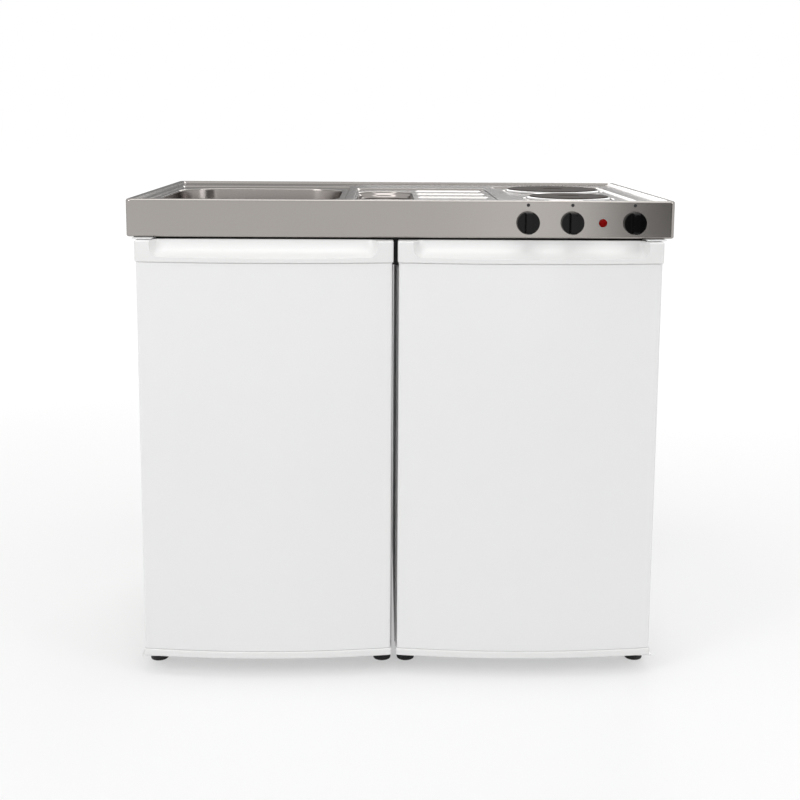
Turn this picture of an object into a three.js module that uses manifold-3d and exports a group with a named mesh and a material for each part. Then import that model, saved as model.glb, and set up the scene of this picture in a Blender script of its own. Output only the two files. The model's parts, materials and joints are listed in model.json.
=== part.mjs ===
// Kitchenette: a pressed stainless worktop with sink, side bowl, drainer and two hot plates,
// on a sink cabinet (left) and a built-under refrigerator (right) with matching bowed doors.
// Millimetres. X to the right, Y to the back, Z up from the floor. The origin is on the floor,
// below the middle of the object's outer box.
import * as THREE from "three";
import { mergeVertices } from "three/addons/utils/BufferGeometryUtils.js";
import Module from "manifold-3d";

const wasm = await Module();
wasm.setup();

// ---------------------------------------------------------------- driving dimensions

const SEAT = 0.3; // clearance between two pieces that touch
const STEEL = 1.2; // stainless sheet of the worktop and the bowl

const WORKTOP = {
  width: 1000,
  depth: 600,
  height: 900, // floor to the crest of the rim
  apron: 69, // height of the front and side skirts
  corner: 9, // radius of the upright corners
  roll: 4, // radius over the outer edge
  crest: 7, // flat top of the rim
  slope: 8, // width of the slope from the rim to the ledge
  rimDrop: 5,
  flangeFront: 38, // sheet folded inwards under the apron
  flangeSide: 24,
};

const FIELD = { drop: 3, slope: 5, corner: 16, front: 38 }; // sunken working fields
const SINK_FIELD = { left: 25, width: 372, back: 100 };
const DRAINER_FIELD = { leftDivider: 14, rightDivider: 20, back: 165 };
const HOB_FIELD = { right: 54, rightOfPlate: 20, leftOfPlate: 28, back: 90 };

const BOWL = { width: 345, length: 365, depth: 150, corner: 82, left: 11, front: 50, flange: 10, lip: 1.5 };
const WASTE = { flange: 55, cup: 42.5, wall: 2, cupDepth: 38, tail: 20, tailBore: 17, tailDepth: 74 };
const BASKET = { clearance: 1.2, wall: 1.4, depth: 31, holes: 8, holeRadius: 3, knob: 9, stem: 3 };

const SIDE_BOWL = { width: 110, length: 316, depth: 14, left: 5, front: 21, wallRun: 12, flange: 5 };
const SIDE_HOLE = { radius: 3, spacing: 14, offset: -16 };
const RIBS = { count: 4, pitch: 95, width: 26, height: 1.8, first: 63, gapLeft: 7, gapRight: 5 };

const PLATE = { proud: 6, rimEdge: 4.4, body: 12, bodyDepth: 20, recess: 20, stud: 4 };
const REAR_PLATE = { radius: 95, margin: 14 };
const FRONT_PLATE = { radius: 77, margin: 60 };
const SPILL_RING = { width: 6, height: 3.9, under: 10, sheet: 1 };
const HOB_BEAD = { width: 7, height: 1.6, around: 9, waist: 62 };
const CLAMP = { width: 24, sheet: 3, foot: 9, dip: 6 };
const HOB_TRAY = { inset: 14, insetY: 22, depth: 48, sheet: 1.2, flange: 10 };

const CONTROL = { belowRim: 40.5, hole: 5.4, bush: 5, bushProud: 1.5, spindle: 3, spindleBore: 3.4 };
const KNOB = { radius: 21, height: 22, base: 8, bar: 10, gap: 1.4, hollow: 15, hollowDepth: 3.5 };
const KNOBS = [
  { name: "rear_plate", fromRight: 269 },
  { name: "front_plate", fromRight: 188 },
  { name: "timer", fromRight: 74 },
];
const SWITCH = { width: 40, height: 40, depth: 30, spindleDepth: 18 };
const LAMP = { fromRight: 132, lens: 6.2, bezel: 7.6, body: 5.8, hole: 6.2, length: 20 };

const FRAME = { height: 52.4, rail: 16, setBack: 2, back: 15 }; // welded frame under the worktop
const BASE = { left: 16, right: 20, front: 28, bottom: 41, gap: 6, cabinetWidth: 470 };
const CABINET = { side: 18, back: 6, groove: 5, shelfZ: 300, shelfSetBack: 45, pipeHole: 22 };
const FOOT = { radius: 17, stem: 6, fromFront: 24, fromSide: 18, fromBack: 40, pad: 12 };

const DOOR = {
  thickness: 37, // back face to front face at the corners
  standOff: 13, // case to the door's back face
  bow: 17, // how far the front swells at mid width
  corner: 5,
  gapTop: 4, // below the apron
  bottom: 38,
  topCap: 39.5,
  bottomCap: 14,
  capProud: 2, // caps stand out from the sheet panel
  groove: 2.4, // shadow line between cap and panel
  edge: 3,
};
const DOOR_MARGIN = { outer: 2, cabinetInner: 0, fridgeInner: 2 };
const GRIP = { inset: 28, height: 31, depth: 26, corner: 17, taper: 12 };
const HINGE = { inset: 13, pin: 4, bore: 4.4, fromBack: 15, plate: 2.2, leaf: 3, half: 18, reach: 14 };
const HINGE_PIN = { top: 18, bottom: 12 };
const SEAL = { width: 14, inset: 15, bottom: 18, top: 53 };
const LINER_PLATE = 8;

const FRIDGE = {
  depth: 522,
  wall: 38,
  floor: 45,
  back: 40,
  liner: 2,
  recessDepth: 160, // compressor recess, low at the back
  recessHeight: 190,
};
const RUNNER = { width: 7, height: 5, front: 60 };
const SHELF = { thickness: 4, trim: 10, overCrisper: 41, upperShare: 0.515, front: 78, side: 1.5, back: 8 };
const CRISPER = { front: 144, depth: 174, height: 160, wall: 2, side: 8, taper: 6 };
const ICE_BOX = { height: 128, front: 142, depth: 320, wall: 2, side: 4, flapGap: 1.2, flap: 4 };
const FLAP_PIN = { radius: 2, bore: 2.4, lug: 8, inset: 5 };
const THERMOSTAT = {
  drop: 33, y: 137, length: 90, height: 46, width: 28, dial: 16, dialWidth: 9, spindle: 3,
};
const RACK = { wall: 2.2, dyke: 14, dykeInset: 50, dykeDepth: 44, dykeBottom: 62, dykeDrop: 187 };
const BOTTLE_RACK = { z: 108, height: 82, depth: 86 };
const UPPER_RACK = { z: 430, height: 55, depth: 68 };
const COMPRESSOR = { radius: 60, height: 150, x: 150, y: 78, base: 70 };
const COMPRESSOR_TRAY = { sheet: 3, inset: 12, footX: 22, footY: 24 };
const CONDENSER = { tube: 3, runs: 7, pitch: 70, side: 60, bottom: 240, offset: 12, strap: 14 };

const TRAP = { radius: 32, drop: 100, body: 52, cup: 44, collar: 26, pipe: 16, pipeBore: 13.5, pipeDrop: 28 };
const SIDE_WASTE = { cup: 18, cupDepth: 24, pipe: 8, spigot: 12 };

// ---------------------------------------------------------------- levels and places

const frontY = -WORKTOP.depth / 2;
const backY = WORKTOP.depth / 2;
const leftX = -WORKTOP.width / 2;
const rightX = WORKTOP.width / 2;
const rimZ = WORKTOP.height;
const ledgeZ = rimZ - WORKTOP.rimDrop;
const fieldZ = ledgeZ - FIELD.drop;
const underZ = fieldZ - STEEL;
const apronZ = rimZ - WORKTOP.apron;
const controlZ = rimZ - CONTROL.belowRim;
const lampX = rightX - LAMP.fromRight;

const frameTop = apronZ - SEAT;
const frameBottom = frameTop - FRAME.height;
const baseTop = frameBottom - SEAT;
const caseFront = frontY + BASE.front;
const frameFront = caseFront + FRAME.setBack;
const frameBack = backY - FRAME.back;
const cabinet = { x0: leftX + BASE.left, x1: leftX + BASE.left + BASE.cabinetWidth };
const fridge = { x0: cabinet.x1 + BASE.gap, x1: rightX - BASE.right };

const doorBack = caseFront - DOOR.standOff;
const doorFront = doorBack - DOOR.thickness;
const doorTop = apronZ - DOOR.gapTop;
const pinY = doorBack - HINGE.fromBack;
const shiftY = (frontY - (doorFront - DOOR.bow)) / 2; // brings the outer box's middle to Y = 0

const sinkField = {
  x0: leftX + SINK_FIELD.left,
  x1: leftX + SINK_FIELD.left + SINK_FIELD.width,
  y0: frontY + FIELD.front,
  y1: backY - SINK_FIELD.back,
};
const plateX = rightX - HOB_FIELD.right - HOB_FIELD.rightOfPlate - REAR_PLATE.radius;
const hobField = {
  x0: plateX - REAR_PLATE.radius - HOB_FIELD.leftOfPlate,
  x1: rightX - HOB_FIELD.right,
  y0: frontY + FIELD.front,
  y1: backY - HOB_FIELD.back,
};
const drainerField = {
  x0: sinkField.x1 + DRAINER_FIELD.leftDivider,
  x1: hobField.x0 - DRAINER_FIELD.rightDivider,
  y0: frontY + FIELD.front,
  y1: backY - DRAINER_FIELD.back,
};
const bowl = {
  x: sinkField.x0 + BOWL.left + BOWL.width / 2,
  y: sinkField.y0 + BOWL.front + BOWL.length / 2,
  floor: fieldZ - BOWL.depth,
};
const trapPipeZ = bowl.floor - TRAP.drop - TRAP.pipeDrop;
const sideBowl = {
  x: drainerField.x0 + SIDE_BOWL.left + SIDE_BOWL.width / 2,
  y: drainerField.y0 + SIDE_BOWL.front + SIDE_BOWL.length / 2,
  floor: fieldZ - SIDE_BOWL.depth,
};
const rearPlate = { ...REAR_PLATE, x: plateX, y: hobField.y1 - REAR_PLATE.margin - REAR_PLATE.radius };
const frontPlate = { ...FRONT_PLATE, x: plateX, y: hobField.y0 + FRONT_PLATE.margin + FRONT_PLATE.radius };

// ---------------------------------------------------------------- shape helpers

/** A closed geometry as a solid, with its shared corners merged and slivers dropped. */
function solid(geometry) {
  const bare = new THREE.BufferGeometry();
  bare.setAttribute("position", geometry.getAttribute("position"));
  if (geometry.index) bare.setIndex(geometry.index);
  const merged = mergeVertices(bare, 1e-4);
  const triangles = [];
  const index = merged.index.array;
  for (let i = 0; i < index.length; i += 3) {
    const [a, b, c] = [index[i], index[i + 1], index[i + 2]];
    if (a !== b && b !== c && c !== a) triangles.push(a, b, c);
  }
  const vertProperties = merged.attributes.position.array;
  return new wasm.Manifold(
    new wasm.Mesh({ numProp: 3, vertProperties, triVerts: new Uint32Array(triangles) }),
  );
}

/** A box between two corners. */
function box(x0, x1, y0, y1, z0, z1) {
  const g = new THREE.BoxGeometry(x1 - x0, y1 - y0, z1 - z0);
  return solid(g.translate((x0 + x1) / 2, (y0 + y1) / 2, (z0 + z1) / 2));
}

/** An upright cylinder from z0 to z1. */
function post(x, y, z0, z1, radius, sides = 16) {
  const g = new THREE.CylinderGeometry(radius, radius, z1 - z0, sides);
  return solid(g.rotateX(Math.PI / 2).translate(x, y, (z0 + z1) / 2));
}

/** A cylinder along Y from y0 to y1. */
function rod(x, z, y0, y1, radius, sides = 16) {
  const g = new THREE.CylinderGeometry(radius, radius, y1 - y0, sides);
  return solid(g.translate(x, (y0 + y1) / 2, z));
}

/** A cylinder along X from x0 to x1. */
function bar(x0, x1, y, z, radius, sides = 12) {
  const g = new THREE.CylinderGeometry(radius, radius, x1 - x0, sides);
  return solid(g.rotateZ(Math.PI / 2).translate((x0 + x1) / 2, y, z));
}

/** A profile of [radius, height] points turned about the Z axis. */
function turned(profile, sides = 48) {
  const points = profile.map(([r, z]) => new THREE.Vector2(r, z));
  const made = solid(new THREE.LatheGeometry(points, sides).rotateX(Math.PI / 2));
  return made;
}

/** A profile of [radius, height] points, anticlockwise, that closes on itself, turned about Z. */
function turnedRing(profile, sides = 48) {
  return turned([...profile, profile[0]], sides);
}

/** A flat outline of [x, y] points, raised from z0 to z1. */
function prism(points, z0, z1) {
  const shape = new THREE.Shape(points.map(([x, y]) => new THREE.Vector2(x, y)));
  const g = new THREE.ExtrudeGeometry(shape, { depth: z1 - z0, bevelEnabled: false });
  return solid(g.translate(0, 0, z0));
}

/** A profile of [y, z] points, drawn out along X from x0 to x1. */
function profileAlongX(points, x0, x1) {
  const shape = new THREE.Shape(points.map(([y, z]) => new THREE.Vector2(y, z)));
  const g = new THREE.ExtrudeGeometry(shape, { depth: x1 - x0, bevelEnabled: false });
  g.applyMatrix4(new THREE.Matrix4().set(0, 0, 1, x0, 1, 0, 0, 0, 0, 1, 0, 0, 0, 0, 0, 1));
  return solid(g);
}

/** A profile of [x, z] points, drawn out along Y from y0 to y1. */
function profileAlongY(points, y0, y1) {
  const shape = new THREE.Shape(points.map(([x, z]) => new THREE.Vector2(x, z)));
  const g = new THREE.ExtrudeGeometry(shape, { depth: y1 - y0, bevelEnabled: false });
  g.applyMatrix4(new THREE.Matrix4().set(1, 0, 0, 0, 0, 0, -1, y1, 0, 1, 0, 0, 0, 0, 0, 1));
  return solid(g);
}

/** A rounded rectangle as [x, y] points, anticlockwise. */
function roundedOutline(x0, x1, y0, y1, radius, steps = 4) {
  const r = Math.max(Math.min(radius, (x1 - x0) / 2 - 0.01, (y1 - y0) / 2 - 0.01), 0.01);
  const corners = [
    [x1 - r, y1 - r, 0],
    [x0 + r, y1 - r, 1],
    [x0 + r, y0 + r, 2],
    [x1 - r, y0 + r, 3],
  ];
  const points = [];
  for (const [cx, cy, quarter] of corners)
    for (let i = 0; i <= steps; i++) {
      const angle = ((quarter + i / steps) * Math.PI) / 2;
      points.push([cx + r * Math.cos(angle), cy + r * Math.sin(angle)]);
    }
  return points;
}

/** A circle as [x, y] points, anticlockwise. */
function circle(x, y, radius, sides = 48) {
  return Array.from({ length: sides }, (_, i) => {
    const angle = (i / sides) * 2 * Math.PI;
    return [x + radius * Math.cos(angle), y + radius * Math.sin(angle)];
  });
}

/** A solid through a stack of outlines with equal point counts: [{ z, outline }, ...]. */
function loft(rings) {
  const count = rings[0].outline.length;
  const positions = [];
  const index = [];
  for (const { z, outline } of rings) for (const [x, y] of outline) positions.push(x, y, z);
  for (let k = 0; k + 1 < rings.length; k++)
    for (let i = 0; i < count; i++) {
      const j = (i + 1) % count;
      const [a, b, c, d] = [k * count + i, k * count + j, (k + 1) * count + j, (k + 1) * count + i];
      index.push(a, b, c, a, c, d);
    }
  for (const [k, flip] of [[0, true], [rings.length - 1, false]]) {
    const { z, outline } = rings[k];
    const centre = positions.length / 3;
    const mean = (axis) => outline.reduce((sum, p) => sum + p[axis], 0) / count;
    positions.push(mean(0), mean(1), z);
    for (let i = 0; i < count; i++) {
      const [a, b] = [k * count + i, k * count + ((i + 1) % count)];
      if (flip) index.push(centre, b, a);
      else index.push(centre, a, b);
    }
  }
  const g = new THREE.BufferGeometry();
  g.setAttribute("position", new THREE.Float32BufferAttribute(positions, 3));
  return solid(g.setIndex(index));
}

/** A round tube with closed ends along a list of points, each ring square to the path. */
function tube(points, radius, sides = 6) {
  const path = points.map((p) => new THREE.Vector3(...p));
  const tangents = path.map((p, i) => {
    const before = path[Math.max(i - 1, 0)];
    const after = path[Math.min(i + 1, path.length - 1)];
    const into = p.clone().sub(before).normalize();
    const out = after.clone().sub(p).normalize();
    return into.add(out).normalize();
  });
  let side = new THREE.Vector3(0, 1, 0);
  if (Math.abs(tangents[0].y) > 0.9) side = new THREE.Vector3(1, 0, 0);
  const positions = [];
  const index = [];
  path.forEach((p, k) => {
    side = side.sub(tangents[k].clone().multiplyScalar(side.dot(tangents[k]))).normalize();
    const other = tangents[k].clone().cross(side);
    for (let i = 0; i < sides; i++) {
      const angle = (i / sides) * 2 * Math.PI;
      const v = p.clone().addScaledVector(side, radius * Math.cos(angle));
      v.addScaledVector(other, radius * Math.sin(angle));
      positions.push(v.x, v.y, v.z);
    }
  });
  for (let k = 0; k + 1 < path.length; k++)
    for (let i = 0; i < sides; i++) {
      const j = (i + 1) % sides;
      const [a, b] = [k * sides + i, k * sides + j];
      const [c, d] = [b + sides, a + sides];
      index.push(a, b, c, a, c, d);
    }
  const last = (path.length - 1) * sides;
  for (let i = 1; i + 1 < sides; i++) index.push(0, i + 1, i, last, last + i, last + i + 1);
  const g = new THREE.BufferGeometry();
  g.setAttribute("position", new THREE.Float32BufferAttribute(positions, 3));
  return solid(g.setIndex(index));
}

/** A path of straight runs with its inner corners rounded, each bend in a few steps. */
function bentPath(points, radius, steps = 4) {
  const path = points.map((p) => new THREE.Vector3(...p));
  const out = [path[0].toArray()];
  for (let i = 1; i + 1 < path.length; i++) {
    const [before, corner, after] = [path[i - 1], path[i], path[i + 1]];
    const reach = Math.min(radius, corner.distanceTo(before) / 2.1, corner.distanceTo(after) / 2.1);
    const from = corner.clone().add(before.clone().sub(corner).setLength(reach));
    const to = corner.clone().add(after.clone().sub(corner).setLength(reach));
    const bend = new THREE.QuadraticBezierCurve3(from, corner, to);
    out.push(...bend.getPoints(steps).map((p) => p.toArray()));
  }
  out.push(path[path.length - 1].toArray());
  return out;
}

/** Several solids joined into one. */
const join = (...solids) => solids.reduce((whole, one) => whole.add(one));

/** A solid with others cut away. */
const cut = (whole, ...tools) => tools.reduce((rest, one) => rest.subtract(one), whole);

/** A solid as a geometry to draw. */
function toGeometry(made) {
  const mesh = made.getMesh();
  const g = new THREE.BufferGeometry();
  g.setAttribute("position", new THREE.BufferAttribute(new Float32Array(mesh.vertProperties), 3));
  g.setIndex(new THREE.BufferAttribute(new Uint32Array(mesh.triVerts), 1));
  return g;
}

// ---------------------------------------------------------------- materials

const finish = (color, roughness, metalness) =>
  new THREE.MeshStandardMaterial({ color, roughness, metalness, flatShading: true });

const FINISH = {
  stainless: finish(0xb4b0ab, 0.32, 1),
  chrome: finish(0xd8d6d2, 0.1, 1),
  castIron: finish(0x4f4a46, 0.7, 0.4),
  galvanised: finish(0xa3a7a8, 0.5, 0.9),
  blackSteel: finish(0x1c1c1d, 0.55, 0.3),
  blackPlastic: finish(0x0d0d0e, 0.18, 0),
  redLens: finish(0xb0120f, 0.15, 0),
  whiteSteel: finish(0xe9e9e8, 0.35, 0.1),
  whitePlastic: finish(0xf1f1ef, 0.4, 0),
  whiteBoard: finish(0xe6e5e1, 0.6, 0),
  greySeal: finish(0x9b9b99, 0.7, 0),
  greyPlastic: finish(0x6f7072, 0.5, 0),
  glass: finish(0xcfe0dc, 0.08, 0),
  clearPlastic: finish(0xd7e4ea, 0.15, 0),
  aluminium: finish(0xc9cbcc, 0.4, 0.9),
  brass: finish(0xb99a54, 0.35, 1),
};

const unit = new THREE.Group();
unit.position.set(0, shiftY, 0);

/** Adds one named piece to a group. */
function place(group, name, made, material, position = [0, 0, 0]) {
  const mesh = new THREE.Mesh(toGeometry(made), material);
  mesh.name = name;
  mesh.position.set(...position);
  group.add(mesh);
  return mesh;
}

/** A group at a place in its parent. */
function groupAt(parent, x = 0, y = 0, z = 0) {
  const group = new THREE.Group();
  group.position.set(x, y, z);
  parent.add(group);
  return group;
}

// ---------------------------------------------------------------- worktop

/** The worktop's outline, drawn in by a distance. */
function worktopOutline(inset) {
  const radius = Math.max(WORKTOP.corner - inset, 2);
  return roundedOutline(leftX + inset, rightX - inset, frontY + inset, backY - inset, radius, 3);
}

/** The outline of one sunken field, drawn in by a distance. */
function fieldOutline(field, inset) {
  const radius = FIELD.corner - inset;
  return roundedOutline(
    field.x0 + inset, field.x1 - inset, field.y0 + inset, field.y1 - inset, radius, 3,
  );
}

/** The rolled rim, the skirts and the flat ledge as one thin shell, open below. */
function worktopShell() {
  const { roll, crest, slope, flangeFront, flangeSide } = WORKTOP;
  const outside = loft([
    { z: apronZ, outline: worktopOutline(0) },
    { z: rimZ - roll, outline: worktopOutline(0) },
    { z: rimZ - 0.3 * roll, outline: worktopOutline(0.3 * roll) },
    { z: rimZ, outline: worktopOutline(roll) },
    { z: rimZ, outline: worktopOutline(roll + crest) },
    { z: ledgeZ, outline: worktopOutline(roll + crest + slope) },
  ]);
  const inside = loft([
    { z: apronZ - 1, outline: worktopOutline(STEEL) },
    { z: rimZ - roll, outline: worktopOutline(STEEL) },
    { z: rimZ - STEEL - 0.3 * roll, outline: worktopOutline(STEEL + 0.2 * roll) },
    { z: rimZ - STEEL, outline: worktopOutline(roll) },
    { z: rimZ - STEEL, outline: worktopOutline(roll + crest - STEEL / 2) },
    { z: ledgeZ - STEEL, outline: worktopOutline(roll + crest + slope - STEEL / 2) },
  ]);
  const flange = cut(
    loft([
      { z: apronZ, outline: worktopOutline(STEEL / 2) },
      { z: apronZ + STEEL, outline: worktopOutline(STEEL / 2) },
    ]),
    box(
      leftX + flangeSide, rightX - flangeSide, frontY + flangeFront, backY - flangeSide,
      apronZ - 1, apronZ + STEEL + 1,
    ),
  );
  return join(cut(outside, inside), flange);
}

/** Sinks a field into the sheet: the pressed pan goes in and its hollow comes out. */
function sinkFieldInto(shell, field) {
  const pan = loft([
    { z: underZ, outline: fieldOutline(field, FIELD.slope - STEEL) },
    { z: ledgeZ - STEEL / 2, outline: fieldOutline(field, -STEEL) },
  ]);
  const hollow = loft([
    { z: fieldZ, outline: fieldOutline(field, FIELD.slope) },
    { z: ledgeZ, outline: fieldOutline(field, 0) },
    { z: ledgeZ + 1, outline: fieldOutline(field, 0) },
  ]);
  return cut(join(shell, pan), hollow);
}

/** The main bowl's outline, drawn in by a distance. */
function bowlOutline(inset) {
  const [halfX, halfY] = [BOWL.width / 2 - inset, BOWL.length / 2 - inset];
  const radius = Math.max(BOWL.corner - inset, 20);
  return roundedOutline(bowl.x - halfX, bowl.x + halfX, bowl.y - halfY, bowl.y + halfY, radius, 4);
}

/** The side bowl's outline, drawn in by a distance. */
function sideBowlOutline(inset) {
  const [halfX, halfY] = [SIDE_BOWL.width / 2 - inset, SIDE_BOWL.length / 2 - inset];
  const { x, y } = sideBowl;
  return roundedOutline(x - halfX, x + halfX, y - halfY, y + halfY, halfX, 3);
}

/** The hole in the sheet over a bowl, its edge rounded off into the field. */
function bowlHole(outline) {
  return loft([
    { z: underZ - 1, outline: outline(0) },
    { z: underZ, outline: outline(0) },
    { z: fieldZ + 0.2, outline: outline(-BOWL.lip) },
  ]);
}

/** The flange that joins a bowl to the sheet from below. */
function bowlFlange(outline, width) {
  return loft([
    { z: underZ - SEAT - STEEL, outline: outline(-width) },
    { z: underZ - SEAT, outline: outline(-width) },
  ]);
}

/** The drainer's raised ribs, one long rounded pad each. */
function drainerRibs() {
  const x0 = sideBowl.x + SIDE_BOWL.width / 2 + RIBS.gapLeft;
  const x1 = drainerField.x1 - FIELD.slope - RIBS.gapRight;
  const half = RIBS.width / 2;
  const ribs = [];
  for (let i = 0; i < RIBS.count; i++) {
    const y = drainerField.y0 + RIBS.first + i * RIBS.pitch;
    const outline = (inset) =>
      roundedOutline(x0 + inset, x1 - inset, y - half + inset, y + half - inset, half - inset, 3);
    ribs.push(
      loft([
        { z: fieldZ - STEEL / 2, outline: outline(0) },
        { z: fieldZ + 0.3 * RIBS.height, outline: outline(0.1 * half) },
        { z: fieldZ + RIBS.height, outline: outline(0.6 * half) },
      ]),
    );
  }
  return ribs;
}

/** The pressed bead that runs round both hot plates, drawn in at the waist between them. */
function hobBead() {
  const { width, height, around, waist } = HOB_BEAD;
  const pad = (z0, z1, grow, shrinkTop) => {
    const round = (plate) => {
      const radius = plate.radius + SPILL_RING.width + around + grow;
      return loft([
        { z: z0, outline: circle(plate.x, plate.y, radius, 22) },
        { z: z1, outline: circle(plate.x, plate.y, radius - shrinkTop, 22) },
      ]);
    };
    const half = waist + grow;
    const [y0, y1] = [frontPlate.y, rearPlate.y];
    const middle = loft([
      { z: z0, outline: roundedOutline(plateX - half, plateX + half, y0, y1, 1, 1) },
      {
        z: z1,
        outline: roundedOutline(plateX - half + shrinkTop, plateX + half - shrinkTop, y0, y1, 1, 1),
      },
    ]);
    return join(round(frontPlate), round(rearPlate), middle);
  };
  const field = prism(fieldOutline(hobField, FIELD.slope + 0.5), fieldZ - 1, fieldZ + height + 1);
  const whole = pad(fieldZ - STEEL / 2, fieldZ + height, 0, 1.5);
  const middle = pad(fieldZ - STEEL, fieldZ + height + 1, -width, -1.5);
  return cut(whole, middle).intersect(field);
}

/** The radius of the hole in the sheet that a hot plate drops into. */
const plateHole = (plate) => plate.radius - SPILL_RING.under + 2.5;

function buildWorktop(group) {
  let sheet = worktopShell();
  for (const field of [sinkField, drainerField, hobField]) sheet = sinkFieldInto(sheet, field);
  sheet = join(sheet, ...drainerRibs(), hobBead());
  const bowlHoles = [bowlHole(bowlOutline), bowlHole(sideBowlOutline)];
  const plateHoles = [rearPlate, frontPlate].map((plate) =>
    post(plate.x, plate.y, underZ - 1, rimZ, plateHole(plate), 24),
  );
  const apronHoles = KNOBS.map(({ fromRight }) =>
    rod(rightX - fromRight, controlZ, frontY - 1, frontY + STEEL + 1, CONTROL.hole, 10),
  );
  const lampHole = rod(lampX, controlZ, frontY - 1, frontY + STEEL + 1, LAMP.hole, 10);
  place(group, "worktop", cut(sheet, ...bowlHoles, ...plateHoles, ...apronHoles, lampHole), FINISH.stainless);
}

// ---------------------------------------------------------------- sink, waste and trap

/** The bowl's wall and floor as [depth below the field, inset from the opening]. */
const BOWL_WALL = [
  [0, 0],
  [0.05, 0.8],
  [0.8, 8],
  [0.92, 13],
  [0.98, 22],
  [1, 36],
];

function buildSinkBowl(group) {
  const rings = [...BOWL_WALL].reverse();
  const hollow = loft([
    ...rings.map(([share, inset]) => ({
      z: fieldZ - share * BOWL.depth,
      outline: bowlOutline(inset),
    })),
    { z: fieldZ + 1, outline: bowlOutline(0) },
  ]);
  const outside = loft(
    rings.map(([share, inset]) => ({
      z: share === 0 ? underZ - SEAT : fieldZ - share * BOWL.depth - STEEL,
      outline: bowlOutline(inset - STEEL),
    })),
  );
  const flange = bowlFlange(bowlOutline, BOWL.flange);
  const wasteHole = post(bowl.x, bowl.y, bowl.floor - 5, bowl.floor + 5, WASTE.cup + SEAT * 2 + 0.4, 24);
  place(group, "sink_bowl", cut(join(outside, flange), hollow, wasteHole), FINISH.stainless);
}

/** The shallow side bowl: a pan drawn from thin sheet, with two small waste holes. */
function buildSideBowl(group) {
  const { wallRun, depth, flange } = SIDE_BOWL;
  const outside = loft([
    { z: sideBowl.floor - STEEL, outline: sideBowlOutline(wallRun - STEEL) },
    { z: sideBowl.floor + 0.35 * depth - STEEL, outline: sideBowlOutline(0.4 * wallRun - STEEL) },
    { z: underZ - SEAT, outline: sideBowlOutline(-STEEL) },
  ]);
  const hollow = loft([
    { z: sideBowl.floor, outline: sideBowlOutline(wallRun) },
    { z: sideBowl.floor + 0.35 * depth, outline: sideBowlOutline(0.4 * wallRun) },
    { z: underZ - SEAT, outline: sideBowlOutline(0) },
    { z: fieldZ, outline: sideBowlOutline(0) },
  ]);
  const holes = [-1, 1].map((side) => {
    const x = sideBowl.x + SIDE_HOLE.offset + (side * SIDE_HOLE.spacing) / 2;
    return post(x, sideBowl.y, sideBowl.floor - 5, sideBowl.floor + 5, SIDE_HOLE.radius, 8);
  });
  const pan = cut(join(outside, bowlFlange(sideBowlOutline, flange)), hollow, ...holes);
  place(group, "side_bowl", pan, FINISH.stainless);
}

/** The basket waste: a flange on the bowl's floor, its cup and tail pipe, and the nut below. */
function buildWaste(group) {
  const { flange, cup, wall, cupDepth, tail, tailBore, tailDepth } = WASTE;
  const seat = SEAT;
  const underFloor = -STEEL - SEAT;
  const nut = cup + 9;
  const made = turnedRing(
    [
      [cup - wall, -cupDepth + wall],
      [tailBore, -cupDepth - 1],
      [tailBore, -tailDepth],
      [tail, -tailDepth],
      [tail, -cupDepth - 3],
      [cup, -cupDepth],
      [cup, underFloor - 7],
      [nut, underFloor - 7],
      [nut, underFloor],
      [cup, underFloor],
      [cup, seat],
      [flange, seat],
      [flange - 1, seat + 0.9],
      [cup - wall, seat + 1.4],
    ],
    20,
  );
  place(group, "sink_waste", made, FINISH.chrome);
}

/** The lift-out basket strainer, hanging by its rim on the waste's flange. */
function buildBasket(group) {
  const radius = WASTE.cup - WASTE.wall - BASKET.clearance;
  const rimUnder = SEAT + 1.4 + SEAT;
  const floor = rimUnder - BASKET.depth;
  const { wall, stem, knob } = BASKET;
  const cupShape = turned(
    [
      [0, floor],
      [radius - 4, floor],
      [radius, floor + 4],
      [radius, rimUnder],
      [radius + 4, rimUnder],
      [radius + 4, rimUnder + 1],
      [radius - wall, rimUnder + 1.2],
      [radius - wall, floor + 4.5],
      [radius - 4.5, floor + wall],
      [stem, floor + wall],
      [stem, rimUnder + 3],
      [knob, rimUnder + 5],
      [knob, rimUnder + 9],
      [knob - 2, rimUnder + 11],
      [0, rimUnder + 11],
    ],
    16,
  );
  const holes = Array.from({ length: BASKET.holes }, (_, i) => {
    const angle = (i / BASKET.holes) * 2 * Math.PI;
    const ring = (radius - 4 + stem) / 2 + 4;
    const [x, y] = [ring * Math.cos(angle), ring * Math.sin(angle)];
    return post(x, y, floor - 1, floor + wall + 1, BASKET.holeRadius, 6);
  });
  place(group, "basket_strainer", cut(cupShape, ...holes), FINISH.chrome);
}

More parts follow.
